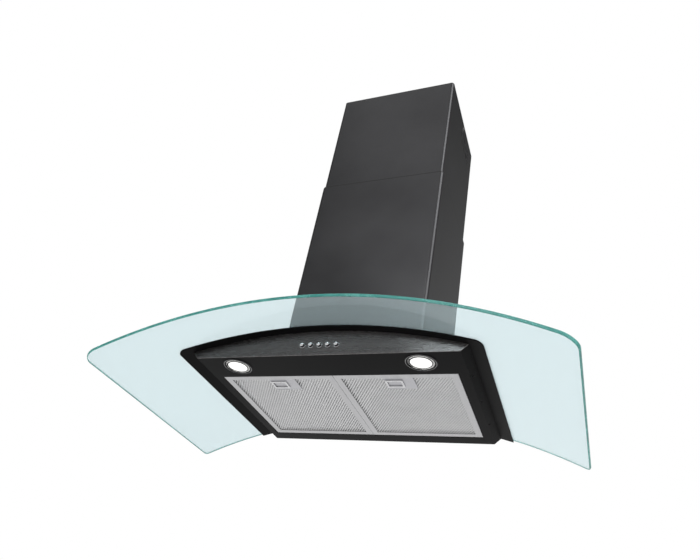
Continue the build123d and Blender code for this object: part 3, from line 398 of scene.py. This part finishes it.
def makeGlass(name, values):
    material, tree, shader = newMaterial(name)
    place = addNode(tree, "ShaderNodeTexCoord").outputs["Object"]
    film = addGrain(tree, values, place)
    setInputs(tree, shader, {
        "Base Color": film["Color"],
        "Roughness": film["Roughness"],
        "IOR": values["ior"],
        "Transmission Weight": values["clear"],
        "Specular IOR Level": values["shine"],
    })
    return material


# lamp lens: opal plastic that is lit from behind
lensValues = {
    "dark": (0.864, 0.864, 0.8448), "light": (0.9, 0.9, 0.88),
    "smooth": 0.25, "rough": 0.4, "fine": 260.0, "broad": 65.0,
    "glow": 0.75,
}


def makeLens(name, values):
    material, tree, shader = newMaterial(name)
    place = addNode(tree, "ShaderNodeTexCoord").outputs["Object"]
    opal = addGrain(tree, values, place)
    setInputs(tree, shader, {
        "Base Color": opal["Color"],
        "Emission Color": opal["Color"],
        "Emission Strength": values["glow"],
        "Roughness": opal["Roughness"],
    })
    return material


materials = {name: makeFinish(name, values) for name, values in finishes.items()}
materials["curvedGlass"] = makeGlass("curvedGlass", glassValues)
materials["groundEdge"] = makeGlass("groundEdge", edgeValues)
materials["opalLens"] = makeLens("opalLens", lensValues)
print("finishes made:", len(materials))

# which CAD pieces have which finish
nodeFinishes = {
    "coverPaint": ["duct_cover_lower", "duct_cover_upper"],
    "bodyPaint": ["canopy_shell", "support_frame"],
    "panelSteel": ["front_panel"],
    "zincSheet": [
        "fan_box", "back_plate", "fan_box_lid", "motor", "motor_bracket", "ceiling_bracket",
    ],
    "frameAluminium": ["filter_frame_left", "filter_frame_right"],
    "meshAluminium": ["filter_mesh_left", "filter_mesh_right"],
    "latchAluminium": ["latch_plate_left", "latch_plate_right"],
    "gripAluminium": ["latch_slider_left", "latch_slider_right"],
    "screwSteel": [
        "glass_bolts", "glass_nuts", "frame_rivets", "fan_screws", "motor_shaft", "shaft_nut",
        "bracket_screws", "damper_pin", "button_springs", "latch_spring_left",
        "latch_spring_right",
    ],
    "buttonChrome": ["button_" + name for name in buttonNames] + ["button_bezels"],
    "blackPlastic": [
        "switch_block", "impeller_left", "impeller_right", "cable_gland", "outlet_collar",
        "cover_glides", "damper_flap_left", "damper_flap_right",
    ],
    "bezelPlastic": ["lamp_housing_left", "lamp_housing_right"],
    "greyPlastic": ["scroll_band", "scroll_side_left", "scroll_side_right", "capacitor"],
    "whitePlastic": ["control_box", "control_lid"],
    "boardGreen": ["control_board", "lamp_boards"],
    "paleFoam": ["glass_seal"],
    "blackRubber": ["upper_seal", "cover_seal", "glass_bushes"],
    "opalLens": ["lamp_lenses"],
}
for finish, names in nodeFinishes.items():
    for name in names:
        nodes[name].data.materials.clear()
        nodes[name].data.materials.append(materials[finish])
print("CAD pieces dressed")


def newMesh(name, verts, faces, finishNames, smooth=False):
    mesh = bpy.data.meshes.new(name)
    mesh.from_pydata(verts, [], faces)
    for finish in finishNames:
        mesh.materials.append(materials[finish])
    if smooth:
        mesh.polygons.foreach_set("use_smooth", [True] * len(faces))
    return mesh


def addPiece(name, mesh, body):
    piece = bpy.data.objects.new(name, mesh)
    bpy.context.scene.collection.objects.link(piece)
    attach(piece, body)
    return piece


# curved glass: two bent skins with holes in them, joined by rounded ground edges
sheetValues = {
    "halfWidth": 0.45, "front": 0.49, "back": 0.001, "frontCorner": 0.028, "backCorner": 0.009,
    "bend": 1.0, "rise": 0.054, "thickness": 0.006,
    "edge": 0.0011, "bevelShare": 0.3,  # the edge's rounding, and where its middle point lies
    "cutHalfWidth": 0.118, "cutFront": 0.226, "cutBack": 0.014, "cutCorner": 0.012,
    "boltX": 0.1335, "boltRows": (-0.04, -0.133, -0.226), "boltHole": 0.00425,
    "columns": 96, "rows": 26,
    "margin": 0.004,  # no point of the grid lies nearer to an edge
    "cornerSteps": 10, "runs": 90, "cutCornerSteps": 6, "cutRuns": 24, "holeSteps": 16,
    "weld": 1e-6,
}


def roundedOutline(halfWidth, front, back, frontCorner, backCorner, inset, steps, longRuns):
    # counter-clockwise from the right back corner, moved in by inset
    points = []
    corners = (
        (halfWidth - backCorner, -back - backCorner, backCorner, 0),
        (backCorner - halfWidth, -back - backCorner, backCorner, 90),
        (frontCorner - halfWidth, frontCorner - front, frontCorner, 180),
        (halfWidth - frontCorner, frontCorner - front, frontCorner, 270),
    )
    for x, y, corner, start in corners:
        radius = corner - inset
        for step in range(steps + 1):
            turn = math.radians(start + 90 * step / steps)
            points.append(Vector((x + radius * math.cos(turn), y + radius * math.sin(turn))))
    # the long runs are divided, because they bend with the sheet
    divided = []
    for index, point in enumerate(points):
        following = points[(index + 1) % len(points)]
        runs = longRuns if index % (steps + 1) == steps else 1
        divided += [point.lerp(following, run / runs) for run in range(runs)]
    return divided


def roundOutline(x, y, radius, steps):
    turns = [2 * math.pi * step / steps for step in range(steps)]
    return [Vector((x + radius * math.cos(turn), y + radius * math.sin(turn))) for turn in turns]


def isInside(point, outline):
    crossings = 0
    for a, b in zip(outline, outline[1:] + outline[:1]):
        if (a.y > point.y) != (b.y > point.y):
            crossings += point.x < a.x + (b.x - a.x) * (point.y - a.y) / (b.y - a.y)
    return crossings % 2 == 1


def isOnSheet(point, loops):
    # inside the outline, and in none of the holes
    return isInside(point, loops[0]) and not any(isInside(point, hole) for hole in loops[1:])


def glassLoops(values, inset):
    # the outline, the cut-out for the air and the bolt holes, moved into the glass by inset
    outer = roundedOutline(
        values["halfWidth"], values["front"], values["back"], values["frontCorner"],
        values["backCorner"], inset, values["cornerSteps"], values["runs"],
    )
    cut = roundedOutline(
        values["cutHalfWidth"], values["cutFront"], values["cutBack"], values["cutCorner"],
        values["cutCorner"], -inset, values["cutCornerSteps"], values["cutRuns"],
    )
    holes = [
        roundOutline(hand * values["boltX"], y, values["boltHole"] + inset, values["holeSteps"])
        for hand in (-1, 1)
        for y in values["boltRows"]
    ]
    return [outer, cut, *holes]


def bendPoint(values, point, share):
    # where a flat point comes on the bent sheet, share of its thickness up, and which way is up
    turn = math.asin(point.x / (values["bend"] + values["thickness"]))
    radius = values["bend"] + values["thickness"] * share
    high = values["rise"] - values["bend"] + radius * math.cos(turn)
    up = Vector((math.sin(turn), 0, math.cos(turn)))
    return Vector((radius * math.sin(turn), point.y, high)), up


def flatTriangles(values, loops):
    # fills the flat sheet between its loops, with a grid of points in it so that it can bend
    points, edges = [], []
    for loop in loops:
        first, count = len(points), len(loop)
        points += loop
        edges += [(first + step, first + (step + 1) % count) for step in range(count)]
    walls = glassLoops(values, values["edge"] + values["margin"])
    for column in range(values["columns"]):
        for row in range(values["rows"]):
            x = values["halfWidth"] * (2 * (column + 0.5) / values["columns"] - 1)
            y = -values["front"] * (row + 0.5) / values["rows"]
            point = Vector((x, y))
            if isOnSheet(point, walls):
                points.append(point)
    insideOnly = 1
    found = delaunay_2d_cdt(points, edges, [], insideOnly, values["weld"])
    places, faces = found[0], found[2]
    kept = []
    for face in faces:
        middle = sum((places[corner] for corner in face), Vector((0, 0))) / len(face)
        if isOnSheet(middle, loops):
            kept.append(list(face))
    return places, kept


def makeGlassSheet(values):
    edge, thickness = values["edge"], values["thickness"]
    flat = glassLoops(values, edge)
    places, triangles = flatTriangles(values, flat)
    verts, polygons, normals, slots = [], [], [], []
    for share, facing in ((0, -1), (1, 1)):
        first = len(verts)
        bent = [bendPoint(values, place, share) for place in places]
        verts += [place for place, up in bent]
        for triangle in triangles:
            corners = triangle[::facing]
            polygons.append([first + corner for corner in corners])
            normals += [bent[corner][1] * facing for corner in corners]
            slots.append(0)
    # rounded edges: how far in, how far up, and the lean of the normal
    bevel = edge * values["bevelShare"]
    layers = [
        (edge, 0, -90), (bevel, bevel, -45), (0, edge, 0),
        (0, thickness - edge, 0), (bevel, thickness - bevel, 45), (edge, thickness, 90),
    ]
    rings = [glassLoops(values, inset) for inset, rise, lean in layers]
    for index in range(len(flat)):
        outward = 1 if index == 0 else -1
        first = len(verts)
        count = len(flat[index])
        ringNormals = []
        for ring, (inset, rise, lean) in zip(rings, layers):
            loop = ring[index]
            turn = math.radians(lean)
            for step, point in enumerate(loop):
                along = loop[(step + 1) % count] - loop[step - 1]
                out = Vector((along.y, -along.x, 0)).normalized() * outward
                place, up = bendPoint(values, point, rise / thickness)
                verts.append(place)
                ringNormals.append((out * math.cos(turn) + up * math.sin(turn)).normalized())
        for layer in range(len(layers) - 1):
            low = layer * count
            for step in range(count):
                corners = [low + step, low + (step + 1) % count]
                corners += [corner + count for corner in reversed(corners)]
                corners = corners[::outward]
                polygons.append([first + corner for corner in corners])
                normals += [ringNormals[corner] for corner in corners]
                slots.append(1)
    mesh = newMesh("glassSheet", verts, polygons, ("curvedGlass", "groundEdge"), smooth=True)
    mesh.polygons.foreach_set("material_index", slots)
    mesh.normals_split_custom_set(normals)
    mesh.update()
    return mesh


glassSheet = addPiece("glassSheet", makeGlassSheet(sheetValues), "root")
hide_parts("glass_canopy")
print("glass sheet:", len(glassSheet.data.polygons), "faces")

# filter cassettes: expanded mesh outside, crumpled foil between
meshValues = {
    "cellWidth": 0.0059, "cellDepth": 0.0095,
    "strandWidth": 0.0018, "thinShare": 0.5,  # every other strand is thinner
    "strandThickness": 0.00035, "tilt": 15.0,
    "reachShare": 0.52,  # length of a strand, as a share of its cell's diagonal
    "lift": 0.0004,  # middle of the outer mesh above the cassette's lip
    "backCellWidth": 0.012, "backCellDepth": 0.016,
    "latchHalfWidth": 0.0101, "latchInset": 0.019,
    "noGap": -1.0,  # behind the whole mesh, so nothing is left out
}
foilValues = {
    "inset": 0.002, "height": 0.0046, "wave": 0.0011, "columns": 86, "rows": 98,
    # the waves along X and along Y: pitch, share of the height, sway and how often it sways
    "waves": ((0.011, 1.0, 1.3, 95), (0.0088, 0.7, 1.1, 120)),
}


def makeExpandedMeshTree():
    # two staggered grids of crossed strands, with a strip left out for the latch
    sizes = {
        "Width": 0.2, "Depth": 0.2, "Cell Width": 0.006, "Cell Depth": 0.004,
        "Strand Width": 0.001, "Thin Share": 0.6, "Strand Thickness": 0.0004,
        "Reach Share": 0.5, "Tilt": 0.4,
        "Gap Middle": 0.0, "Gap Half Width": 0.01, "Gap Back": -1.0,
    }
    inputs = {label: (number, size) for label, size in sizes.items()}
    inputs["Material"] = ("NodeSocketMaterial", None)
    outputs = {"Geometry": "NodeSocketGeometry"}
    tree, get, put = newGroup("expandedMesh", "GeometryNodeTree", inputs, outputs)

    def times(first, second):
        return maths(tree, "MULTIPLY", first, second)

    def minus(first, second):
        return maths(tree, "SUBTRACT", first, second)

    def grid(fewer):
        lengths, counts = [], []
        for whole, cell in (("Width", "Cell Width"), ("Depth", "Cell Depth")):
            fitting = maths(tree, "FLOOR", maths(tree, "DIVIDE", get[whole], get[cell]))
            count = minus(fitting, float(fewer))
            lengths.append(times(minus(count, 1.0), get[cell]))
            counts.append(count)
        return addNode(tree, "GeometryNodeMeshGrid", {
            "Size X": lengths[0], "Size Y": lengths[1],
            "Vertices X": counts[0], "Vertices Y": counts[1],
        }).outputs["Mesh"]

    both = addNode(tree, "GeometryNodeJoinGeometry")
    tree.links.new(grid(0), both.inputs[0])
    tree.links.new(grid(1), both.inputs[0])
    position = addNode(tree, "GeometryNodeInputPosition")
    where = addNode(tree, "ShaderNodeSeparateXYZ", {0: position.outputs[0]})
    aside = maths(tree, "ABSOLUTE", minus(where.outputs["X"], get["Gap Middle"]))
    inStrip = maths(tree, "LESS_THAN", aside, get["Gap Half Width"])
    inFront = maths(tree, "LESS_THAN", where.outputs["Y"], get["Gap Back"])
    cut = addNode(tree, "GeometryNodeDeleteGeometry", {
        "Geometry": both.outputs[0], "Selection": times(inStrip, inFront),
    })
    wide, deep = get["Cell Width"], get["Cell Depth"]
    diagonal = maths(tree, "SQRT", maths(tree, "ADD", times(wide, wide), times(deep, deep)))
    reach = times(diagonal, get["Reach Share"])
    lean = maths(tree, "ARCTAN2", deep, wide)
    cross = addNode(tree, "GeometryNodeJoinGeometry")
    thin = times(get["Strand Width"], get["Thin Share"])
    for hand, strandWidth in ((-1.0, get["Strand Width"]), (1.0, thin)):
        size = addNode(tree, "ShaderNodeCombineXYZ", {
            "X": reach, "Y": strandWidth, "Z": get["Strand Thickness"],
        })
        strand = addNode(tree, "GeometryNodeMeshCube", {"Size": size.outputs[0]})
        turn = addNode(tree, "ShaderNodeCombineXYZ", {
            "X": times(get["Tilt"], hand), "Z": times(lean, hand),
        })
        placed = addNode(tree, "GeometryNodeTransform", {
            "Geometry": strand.outputs["Mesh"], "Rotation": turn.outputs[0],
        })
        tree.links.new(placed.outputs[0], cross.inputs[0])
    spread = addNode(tree, "GeometryNodeInstanceOnPoints", {
        "Points": cut.outputs[0], "Instance": cross.outputs[0],
    })
    real = addNode(tree, "GeometryNodeRealizeInstances", {"Geometry": spread.outputs[0]})
    coat = addNode(tree, "GeometryNodeSetMaterial", {
        "Geometry": real.outputs[0], "Material": get["Material"],
    })
    tree.links.new(coat.outputs[0], put["Geometry"])
    return tree


def grow(tree, name, values, place):
    # runs a geometry tree once and keeps a plain mesh of its result
    holder = bpy.data.objects.new(name, bpy.data.meshes.new(name + "Seed"))
    bpy.context.scene.collection.objects.link(holder)
    modifier = holder.modifiers.new(name, "NODES")
    modifier.node_group = tree
    for item in tree.interface.items_tree:
        if item.item_type == "SOCKET" and item.in_out == "INPUT" and item.name in values:
            modifier[item.identifier] = values[item.name]
    seen = holder.evaluated_get(bpy.context.evaluated_depsgraph_get())
    mesh = bpy.data.meshes.new_from_object(seen)
    mesh.name = name
    mesh.transform(Matrix.Translation(place))
    bpy.data.objects.remove(holder)
    return mesh


def makeFoil(values, low, high):
    columns, rows, inset = values["columns"], values["rows"], values["inset"]
    width = high[0] - low[0] - 2 * inset
    depth = high[1] - low[1] - 2 * inset
    whole = sum(share for pitch, share, sway, often in values["waves"])
    verts, faces = [], []
    for row in range(rows + 1):
        for column in range(columns + 1):
            x = low[0] + inset + width * column / columns
            y = low[1] + inset + depth * row / rows
            wave = 0
            for along, aside, (pitch, share, sway, often) in zip((x, y), (y, x), values["waves"]):
                turn = 2 * math.pi * along / pitch + sway * math.sin(aside * often)
                wave += share * math.sin(turn)
            verts.append((x, y, values["height"] + values["wave"] * wave / whole))
    for row in range(rows):
        for column in range(columns):
            corner = row * (columns + 1) + column
            faces.append((corner, corner + 1, corner + columns + 2, corner + columns + 1))
    return newMesh("foil", verts, faces, ("foilAluminium",), smooth=True)


expandedMeshTree = makeExpandedMeshTree()
for side in sides:
    low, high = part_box("filter_mesh_" + side)
    plateLow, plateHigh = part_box("latch_plate_" + side)
    middle = ((low[0] + high[0]) / 2, (low[1] + high[1]) / 2)
    outerSizes = {
        "Width": high[0] - low[0],
        "Depth": high[1] - low[1],
        "Cell Width": meshValues["cellWidth"],
        "Cell Depth": meshValues["cellDepth"],
        "Strand Width": meshValues["strandWidth"],
        "Thin Share": meshValues["thinShare"],
        "Strand Thickness": meshValues["strandThickness"],
        "Reach Share": meshValues["reachShare"],
        "Tilt": math.radians(meshValues["tilt"]),
        "Gap Middle": plateLow[0] + meshValues["latchInset"] - middle[0],
        "Gap Half Width": meshValues["latchHalfWidth"] + meshValues["cellWidth"] / 2,
        "Gap Back": plateHigh[1] - middle[1] + meshValues["cellDepth"] / 2,
        "Material": materials["meshAluminium"],
    }
    backSizes = {
        **outerSizes,
        "Cell Width": meshValues["backCellWidth"],
        "Cell Depth": meshValues["backCellDepth"],
        "Gap Back": meshValues["noGap"],
    }
    lift = meshValues["lift"]
    outer = grow(expandedMeshTree, "outerMesh", outerSizes, (*middle, low[2] + lift))
    back = grow(expandedMeshTree, "backMesh", backSizes, (*middle, high[2] - lift))
    foil = makeFoil(foilValues, low, high)
    outerPiece = addPiece("meshOuter_" + side, outer, "filter_" + side)
    addPiece("meshBack_" + side, back, "filter_" + side)
    addPiece("meshFoil_" + side, foil, "filter_" + side)
    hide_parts("filter_mesh_" + side)
    print("filter", side, "mesh faces:", len(outer.polygons), len(back.polygons))


# turned pieces: push buttons and lamp bezels
def turnProfile(name, profile, finishNames, place, axis, steps, sharp):
    # profile holds radius, height and the number of the finish up to the next point
    upright = Vector((0, 0, 1)).rotation_difference(Vector(axis)).to_matrix().to_4x4()
    turns = [2 * math.pi * step / steps for step in range(steps)]
    build = bmesh.new()
    rings = []
    for radius, height, slot in profile:
        if radius == 0:
            rings.append([build.verts.new((0, 0, height))])
        else:
            rings.append([
                build.verts.new((radius * math.cos(turn), radius * math.sin(turn), height))
                for turn in turns
            ])
    for low, high, (radius, height, slot) in zip(rings, rings[1:], profile):
        for step in range(steps):
            following = (step + 1) % steps
            corners = [
                low[step % len(low)], low[following % len(low)],
                high[following % len(high)], high[step % len(high)],
            ]
            face = build.faces.new(list(dict.fromkeys(corners)))  # a triangle at the axis
            face.material_index = slot
            face.smooth = True
    build.transform(Matrix.Translation(place) @ upright)
    bmesh.ops.recalc_face_normals(build, faces=build.faces)
    mesh = bpy.data.meshes.new(name)
    build.to_mesh(mesh)
    build.free()
    for finish in finishNames:
        mesh.materials.append(materials[finish])
    mesh.set_sharp_from_angle(angle=math.radians(sharp))
    return mesh


buttonValues = {
    "capLength": 0.0026, "groove": 0.00035, "chamfer": 0.0003, "dome": 0.0021,
    "domeSteps": 7, "steps": 40, "sharp": 40,
}


def makeButton(name, values):
    low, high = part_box(name)
    radius = (high[0] - low[0]) / 2
    length = high[1] - low[1]
    middle = ((low[0] + high[0]) / 2, high[1], (low[2] + high[2]) / 2)
    chamfer = values["chamfer"]
    capStart = length - values["capLength"]
    neck, neckStart = radius - values["groove"], capStart - values["groove"]
    profile = [
        (0, 0, 0), (radius - chamfer, 0, 0), (radius, chamfer, 0), (radius, neckStart, 0),
        (neck, neckStart, 0), (neck, capStart, 1), (radius, capStart, 1),
    ]
    for step in range(values["domeSteps"]):
        turn = math.radians(90 * step / values["domeSteps"])
        height = length - values["dome"] * (1 - math.sin(turn))
        profile.append((radius * math.cos(turn), height, 1))
    profile.append((0, length, 1))
    finishNames = ("bezelPlastic", "buttonChrome")
    return turnProfile(
        name + "Cap", profile, finishNames, middle, (0, -1, 0), values["steps"], values["sharp"]
    )


for name in buttonNames:
    button = "button_" + name
    cap = addPiece("cap_" + name, makeButton(button, buttonValues), button)
    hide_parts(button)

lampValues = {
    "bezelRadius": 0.0295, "barrelRadius": 0.0265, "windowRadius": 0.0195, "wall": 0.0015,
    "depth": 0.0016, "ledge": 0.0008,
    "innerRing": 0.0006, "innerSlope": (0.00018, 0.0003),  # width, and its slopes across and up
    "dish": 0.0007, "dishGap": 0.0015,
    "outerRing": (0.0275, 0.0008, 0.00155),  # radius, width and how far it stands out
    "ringFoot": 1.6,  # the dish ends this many ring widths inside the ring's radius
    "ringSlope": 0.0002,
    "rim": (0.0004, 0.0005, 0.0001),  # width, depth and thin edge of the bezel's slope
    "steps": 72, "sharp": 50,
}


def makeLampHousing(name, values):
    low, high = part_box(name)
    middle = ((low[0] + high[0]) / 2, (low[1] + high[1]) / 2, 0)
    top, bottom, ledge = high[2], -values["depth"], values["ledge"] - values["depth"]
    bezel, barrel, window = values["bezelRadius"], values["barrelRadius"], values["windowRadius"]
    inside, ceiling = barrel - values["wall"], top - values["wall"]
    dish, inner, slope = -values["dish"], values["innerRing"], values["ringSlope"]
    across, up = values["innerSlope"]
    ring, ringWide, ringTall = values["outerRing"]
    rimWide, rimDeep, rimThin = values["rim"]
    profile = [
        (0, ceiling, 0), (inside, ceiling, 0), (inside, ledge, 0), (window, ledge, 0),
        (window, bottom + up, 0), (window + across, bottom, 0), (window + inner, bottom, 0),
        (window + inner + across, bottom + up, 0),
        (window + inner + values["dishGap"], dish, 0),
        (ring - ringWide * values["ringFoot"], dish - slope, 0),
        (ring - ringWide / 2, slope - ringTall, 1), (ring - ringWide / 4, -ringTall, 1),
        (ring + ringWide / 4, -ringTall, 1), (ring + ringWide / 2, slope - ringTall, 0),
        (bezel - rimWide, -rimDeep, 0), (bezel, -rimThin, 0), (bezel, 0, 0),
        (barrel, 0, 0), (barrel, top, 0), (0, top, 0),
    ]
    finishNames = ("bezelPlastic", "trimSteel")
    return turnProfile(
        name + "Turned", profile, finishNames, middle, (0, 0, 1), values["steps"], values["sharp"]
    )


for side in sides:
    housing = "lamp_housing_" + side
    bezel = addPiece(
        "lampBezel_" + side, makeLampHousing(housing, lampValues), "root"
    )
    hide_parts(housing)
print("push buttons and lamp bezels turned")

# black strip standing in the gap between the two duct covers, as a painted shadow line along
# their joint
seamShadowValues = {
    "outerInset": 0.0009, "innerInset": 0.0024,  # from the lower cover's outside
    "fold": 0.008, "backGap": 0.004, "foot": 0.004, "rise": 0.0036, "steps": 6,
}


def makeCoverSeamShadow(values):
    low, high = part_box("duct_cover_lower")
    steps, fold = values["steps"], values["fold"]
    lines = []
    for inset in (values["outerInset"], values["innerInset"]):
        points = roundedOutline(high[0], -low[1], values["backGap"], fold, fold, inset, steps, 1)
        # open at the wall: from the left back corner round the front to the right back corner
        lines.append(points[2 * steps + 1:] + points[:1])
    bottom, top = high[2] - values["foot"], high[2] + values["rise"]
    verts, faces = [], []
    for outer, inner in zip(*lines):
        verts += [
            (outer.x, outer.y, bottom), (outer.x, outer.y, top),
            (inner.x, inner.y, top), (inner.x, inner.y, bottom),
        ]
    for step in range(len(lines[0]) - 1):
        for corner in range(4):
            a, b = 4 * step + corner, 4 * step + (corner + 1) % 4
            faces.append((a, a + 4, b + 4, b))
    last = len(verts) - 4
    faces += [(0, 1, 2, 3), (last + 3, last + 2, last + 1, last)]
    return newMesh("coverSeamShadow", verts, faces, ("blackRubber",))


addPiece("coverSeamShadow", makeCoverSeamShadow(seamShadowValues), "root")
print("cover seam made")

# coil springs, cut from the CAD's
springValues = {"halfWidth": 0.007, "weld": 1e-6, "sharp": 60.0}


def addSpring(name, source, middle, body, values):
    build = bmesh.new()
    build.from_mesh(nodes[source].data)
    away = [vert for vert in build.verts if abs(vert.co.x - middle) > values["halfWidth"]]
    bmesh.ops.delete(build, geom=away, context="VERTS")
    bmesh.ops.remove_doubles(build, verts=build.verts, dist=values["weld"])
    mesh = bpy.data.meshes.new(name)
    build.to_mesh(mesh)
    build.free()
    mesh.polygons.foreach_set("use_smooth", [True] * len(mesh.polygons))
    mesh.set_sharp_from_angle(angle=math.radians(values["sharp"]))
    mesh.materials.clear()
    mesh.materials.append(materials["screwSteel"])
    spring = addPiece(name, mesh, body)
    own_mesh(spring)
    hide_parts(source)


for name in buttonNames:
    low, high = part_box("button_" + name)
    middle = (low[0] + high[0]) / 2
    addSpring("coil_" + name, "button_springs", middle, "root", springValues)
for side in sides:
    source = "latch_spring_" + side
    low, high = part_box(source)
    middle = (low[0] + high[0]) / 2
    addSpring("coil_latch_" + side, source, middle, "filter_" + side, springValues)
print("springs cut out")

# studio
studioValues = {
    "ambient": 0.6,  # what the walls of the studio give to the object
    "brightBelow": -0.05,  # mirrors see white below this slope,
    "dimAbove": 0.8,  # and above this one
    "dimShare": 0.05,  # only this much of it
    "floorHeight": -2.9,
    "floorSize": 24.0,
    "floorColour": (0.86, 0.86, 0.86, 1),
    "floorRoughness": 0.9,
    "fade": (1.5, 7.0),  # the floor turns white between these distances
    "fadeStart": 0.75,  # its share of white right below the object
    "lamps": [
        # place, aim, width, height, brightness
        ((-0.1, -2.35, 1.25), (0.1, -0.35, 0.05), 0.6, 0.9, 5.5),
        ((-0.6, -1.9, 2.6), (0, -0.2, 0.6), 1.2, 1.2, 0.75),
        ((1.65, -1.15, 2.0), (0.14, -0.25, 0.5), 1.7, 1.9, 4.5),
        ((-0.5, -0.2, 3.6), (0, -0.2, 0), 2.4, 2.4, 1.5),
    ],
}
white = (1, 1, 1, 1)


def seenDirectly(tree):
    # 1 where a camera, mirror or glass looks, 0 for light that falls on the object
    rays = addNode(tree, "ShaderNodeLightPath").outputs
    either = maths(tree, "MAXIMUM", rays["Is Camera Ray"], rays["Is Glossy Ray"])
    return maths(tree, "MAXIMUM", either, rays["Is Transmission Ray"])


def makeWorld(values):
    world = bpy.data.worlds.new("whiteStudio")
    bpy.context.scene.world = world
    world.use_nodes = True
    tree = world.node_tree
    seen = addNode(tree, "ShaderNodeMapRange", {
        "Value": seenDirectly(tree), "To Min": values["ambient"], "To Max": 1.0,
    })
    # mirrors see the unlit upper part of the studio, which nothing else sees
    where = addNode(tree, "ShaderNodeTexCoord")
    height = addNode(tree, "ShaderNodeSeparateXYZ", {0: where.outputs["Generated"]})
    dim = addNode(tree, "ShaderNodeMapRange", {
        "Value": height.outputs["Z"],
        "From Min": values["brightBelow"],
        "From Max": values["dimAbove"],
        "To Min": 1.0,
        "To Max": values["dimShare"],
    })
    path = addNode(tree, "ShaderNodeLightPath")
    mirrored = maths(tree, "MINIMUM", path.outputs["Glossy Depth"], 1.0)
    pick = addNode(tree, "ShaderNodeMix", {0: mirrored, 2: seen.outputs[0], 3: dim.outputs[0]})
    setInputs(tree, tree.nodes["Background"], {"Color": white, "Strength": pick.outputs[0]})


def makeFloor(values):
    material, tree, shader = newMaterial("studioFloor")
    setInputs(tree, shader, {
        "Base Color": values["floorColour"], "Roughness": values["floorRoughness"],
    })
    z = values["floorHeight"]
    glow = addNode(tree, "ShaderNodeEmission", {"Color": white, "Strength": 1.0})
    place = addNode(tree, "ShaderNodeTexCoord")
    away = addNode(tree, "ShaderNodeVectorMath", {
        0: place.outputs["Object"], 1: (0, 0, -z),
    }, operation="ADD")
    distance = addNode(tree, "ShaderNodeVectorMath", {0: away.outputs[0]}, operation="LENGTH")
    fade = addNode(tree, "ShaderNodeMapRange", {
        "Value": distance.outputs["Value"],
        "From Min": values["fade"][0],
        "From Max": values["fade"][1],
        "To Min": values["fadeStart"],
        "To Max": 1.0,
    }, interpolation_type="SMOOTHSTEP")
    share = maths(tree, "MULTIPLY", seenDirectly(tree), fade.outputs[0])
    mix = addNode(tree, "ShaderNodeMixShader", {
        0: share, 1: shader.outputs[0], 2: glow.outputs[0],
    })
    tree.links.new(mix.outputs[0], tree.nodes["Material Output"].inputs["Surface"])
    half = values["floorSize"] / 2
    corners = [(-half, -half, z), (half, -half, z), (half, half, z), (-half, half, z)]
    mesh = newMesh("studioFloor", corners, [(0, 1, 2, 3)], ())
    mesh.materials.append(material)
    floor = bpy.data.objects.new("studioFloor", mesh)
    bpy.context.scene.collection.objects.link(floor)


def makeLamps(values):
    for count, (place, aim, width, height, brightness) in enumerate(values["lamps"]):
        lamp = bpy.data.lights.new(f"softbox{count}", "AREA")
        lamp.shape = "RECTANGLE"
        lamp.size = width
        lamp.size_y = height
        lamp.energy = brightness * math.pi * width * height
        item = bpy.data.objects.new(f"softbox{count}", lamp)
        facing = (Vector(aim) - Vector(place)).to_track_quat("-Z", "Y").to_matrix().to_4x4()
        item.matrix_world = Matrix.Translation(place) @ facing
        item.visible_camera = False
        bpy.context.scene.collection.objects.link(item)


makeWorld(studioValues)
makeFloor(studioValues)
makeLamps(studioValues)
bpy.context.scene.view_settings.view_transform = "Standard"
print("studio ready")
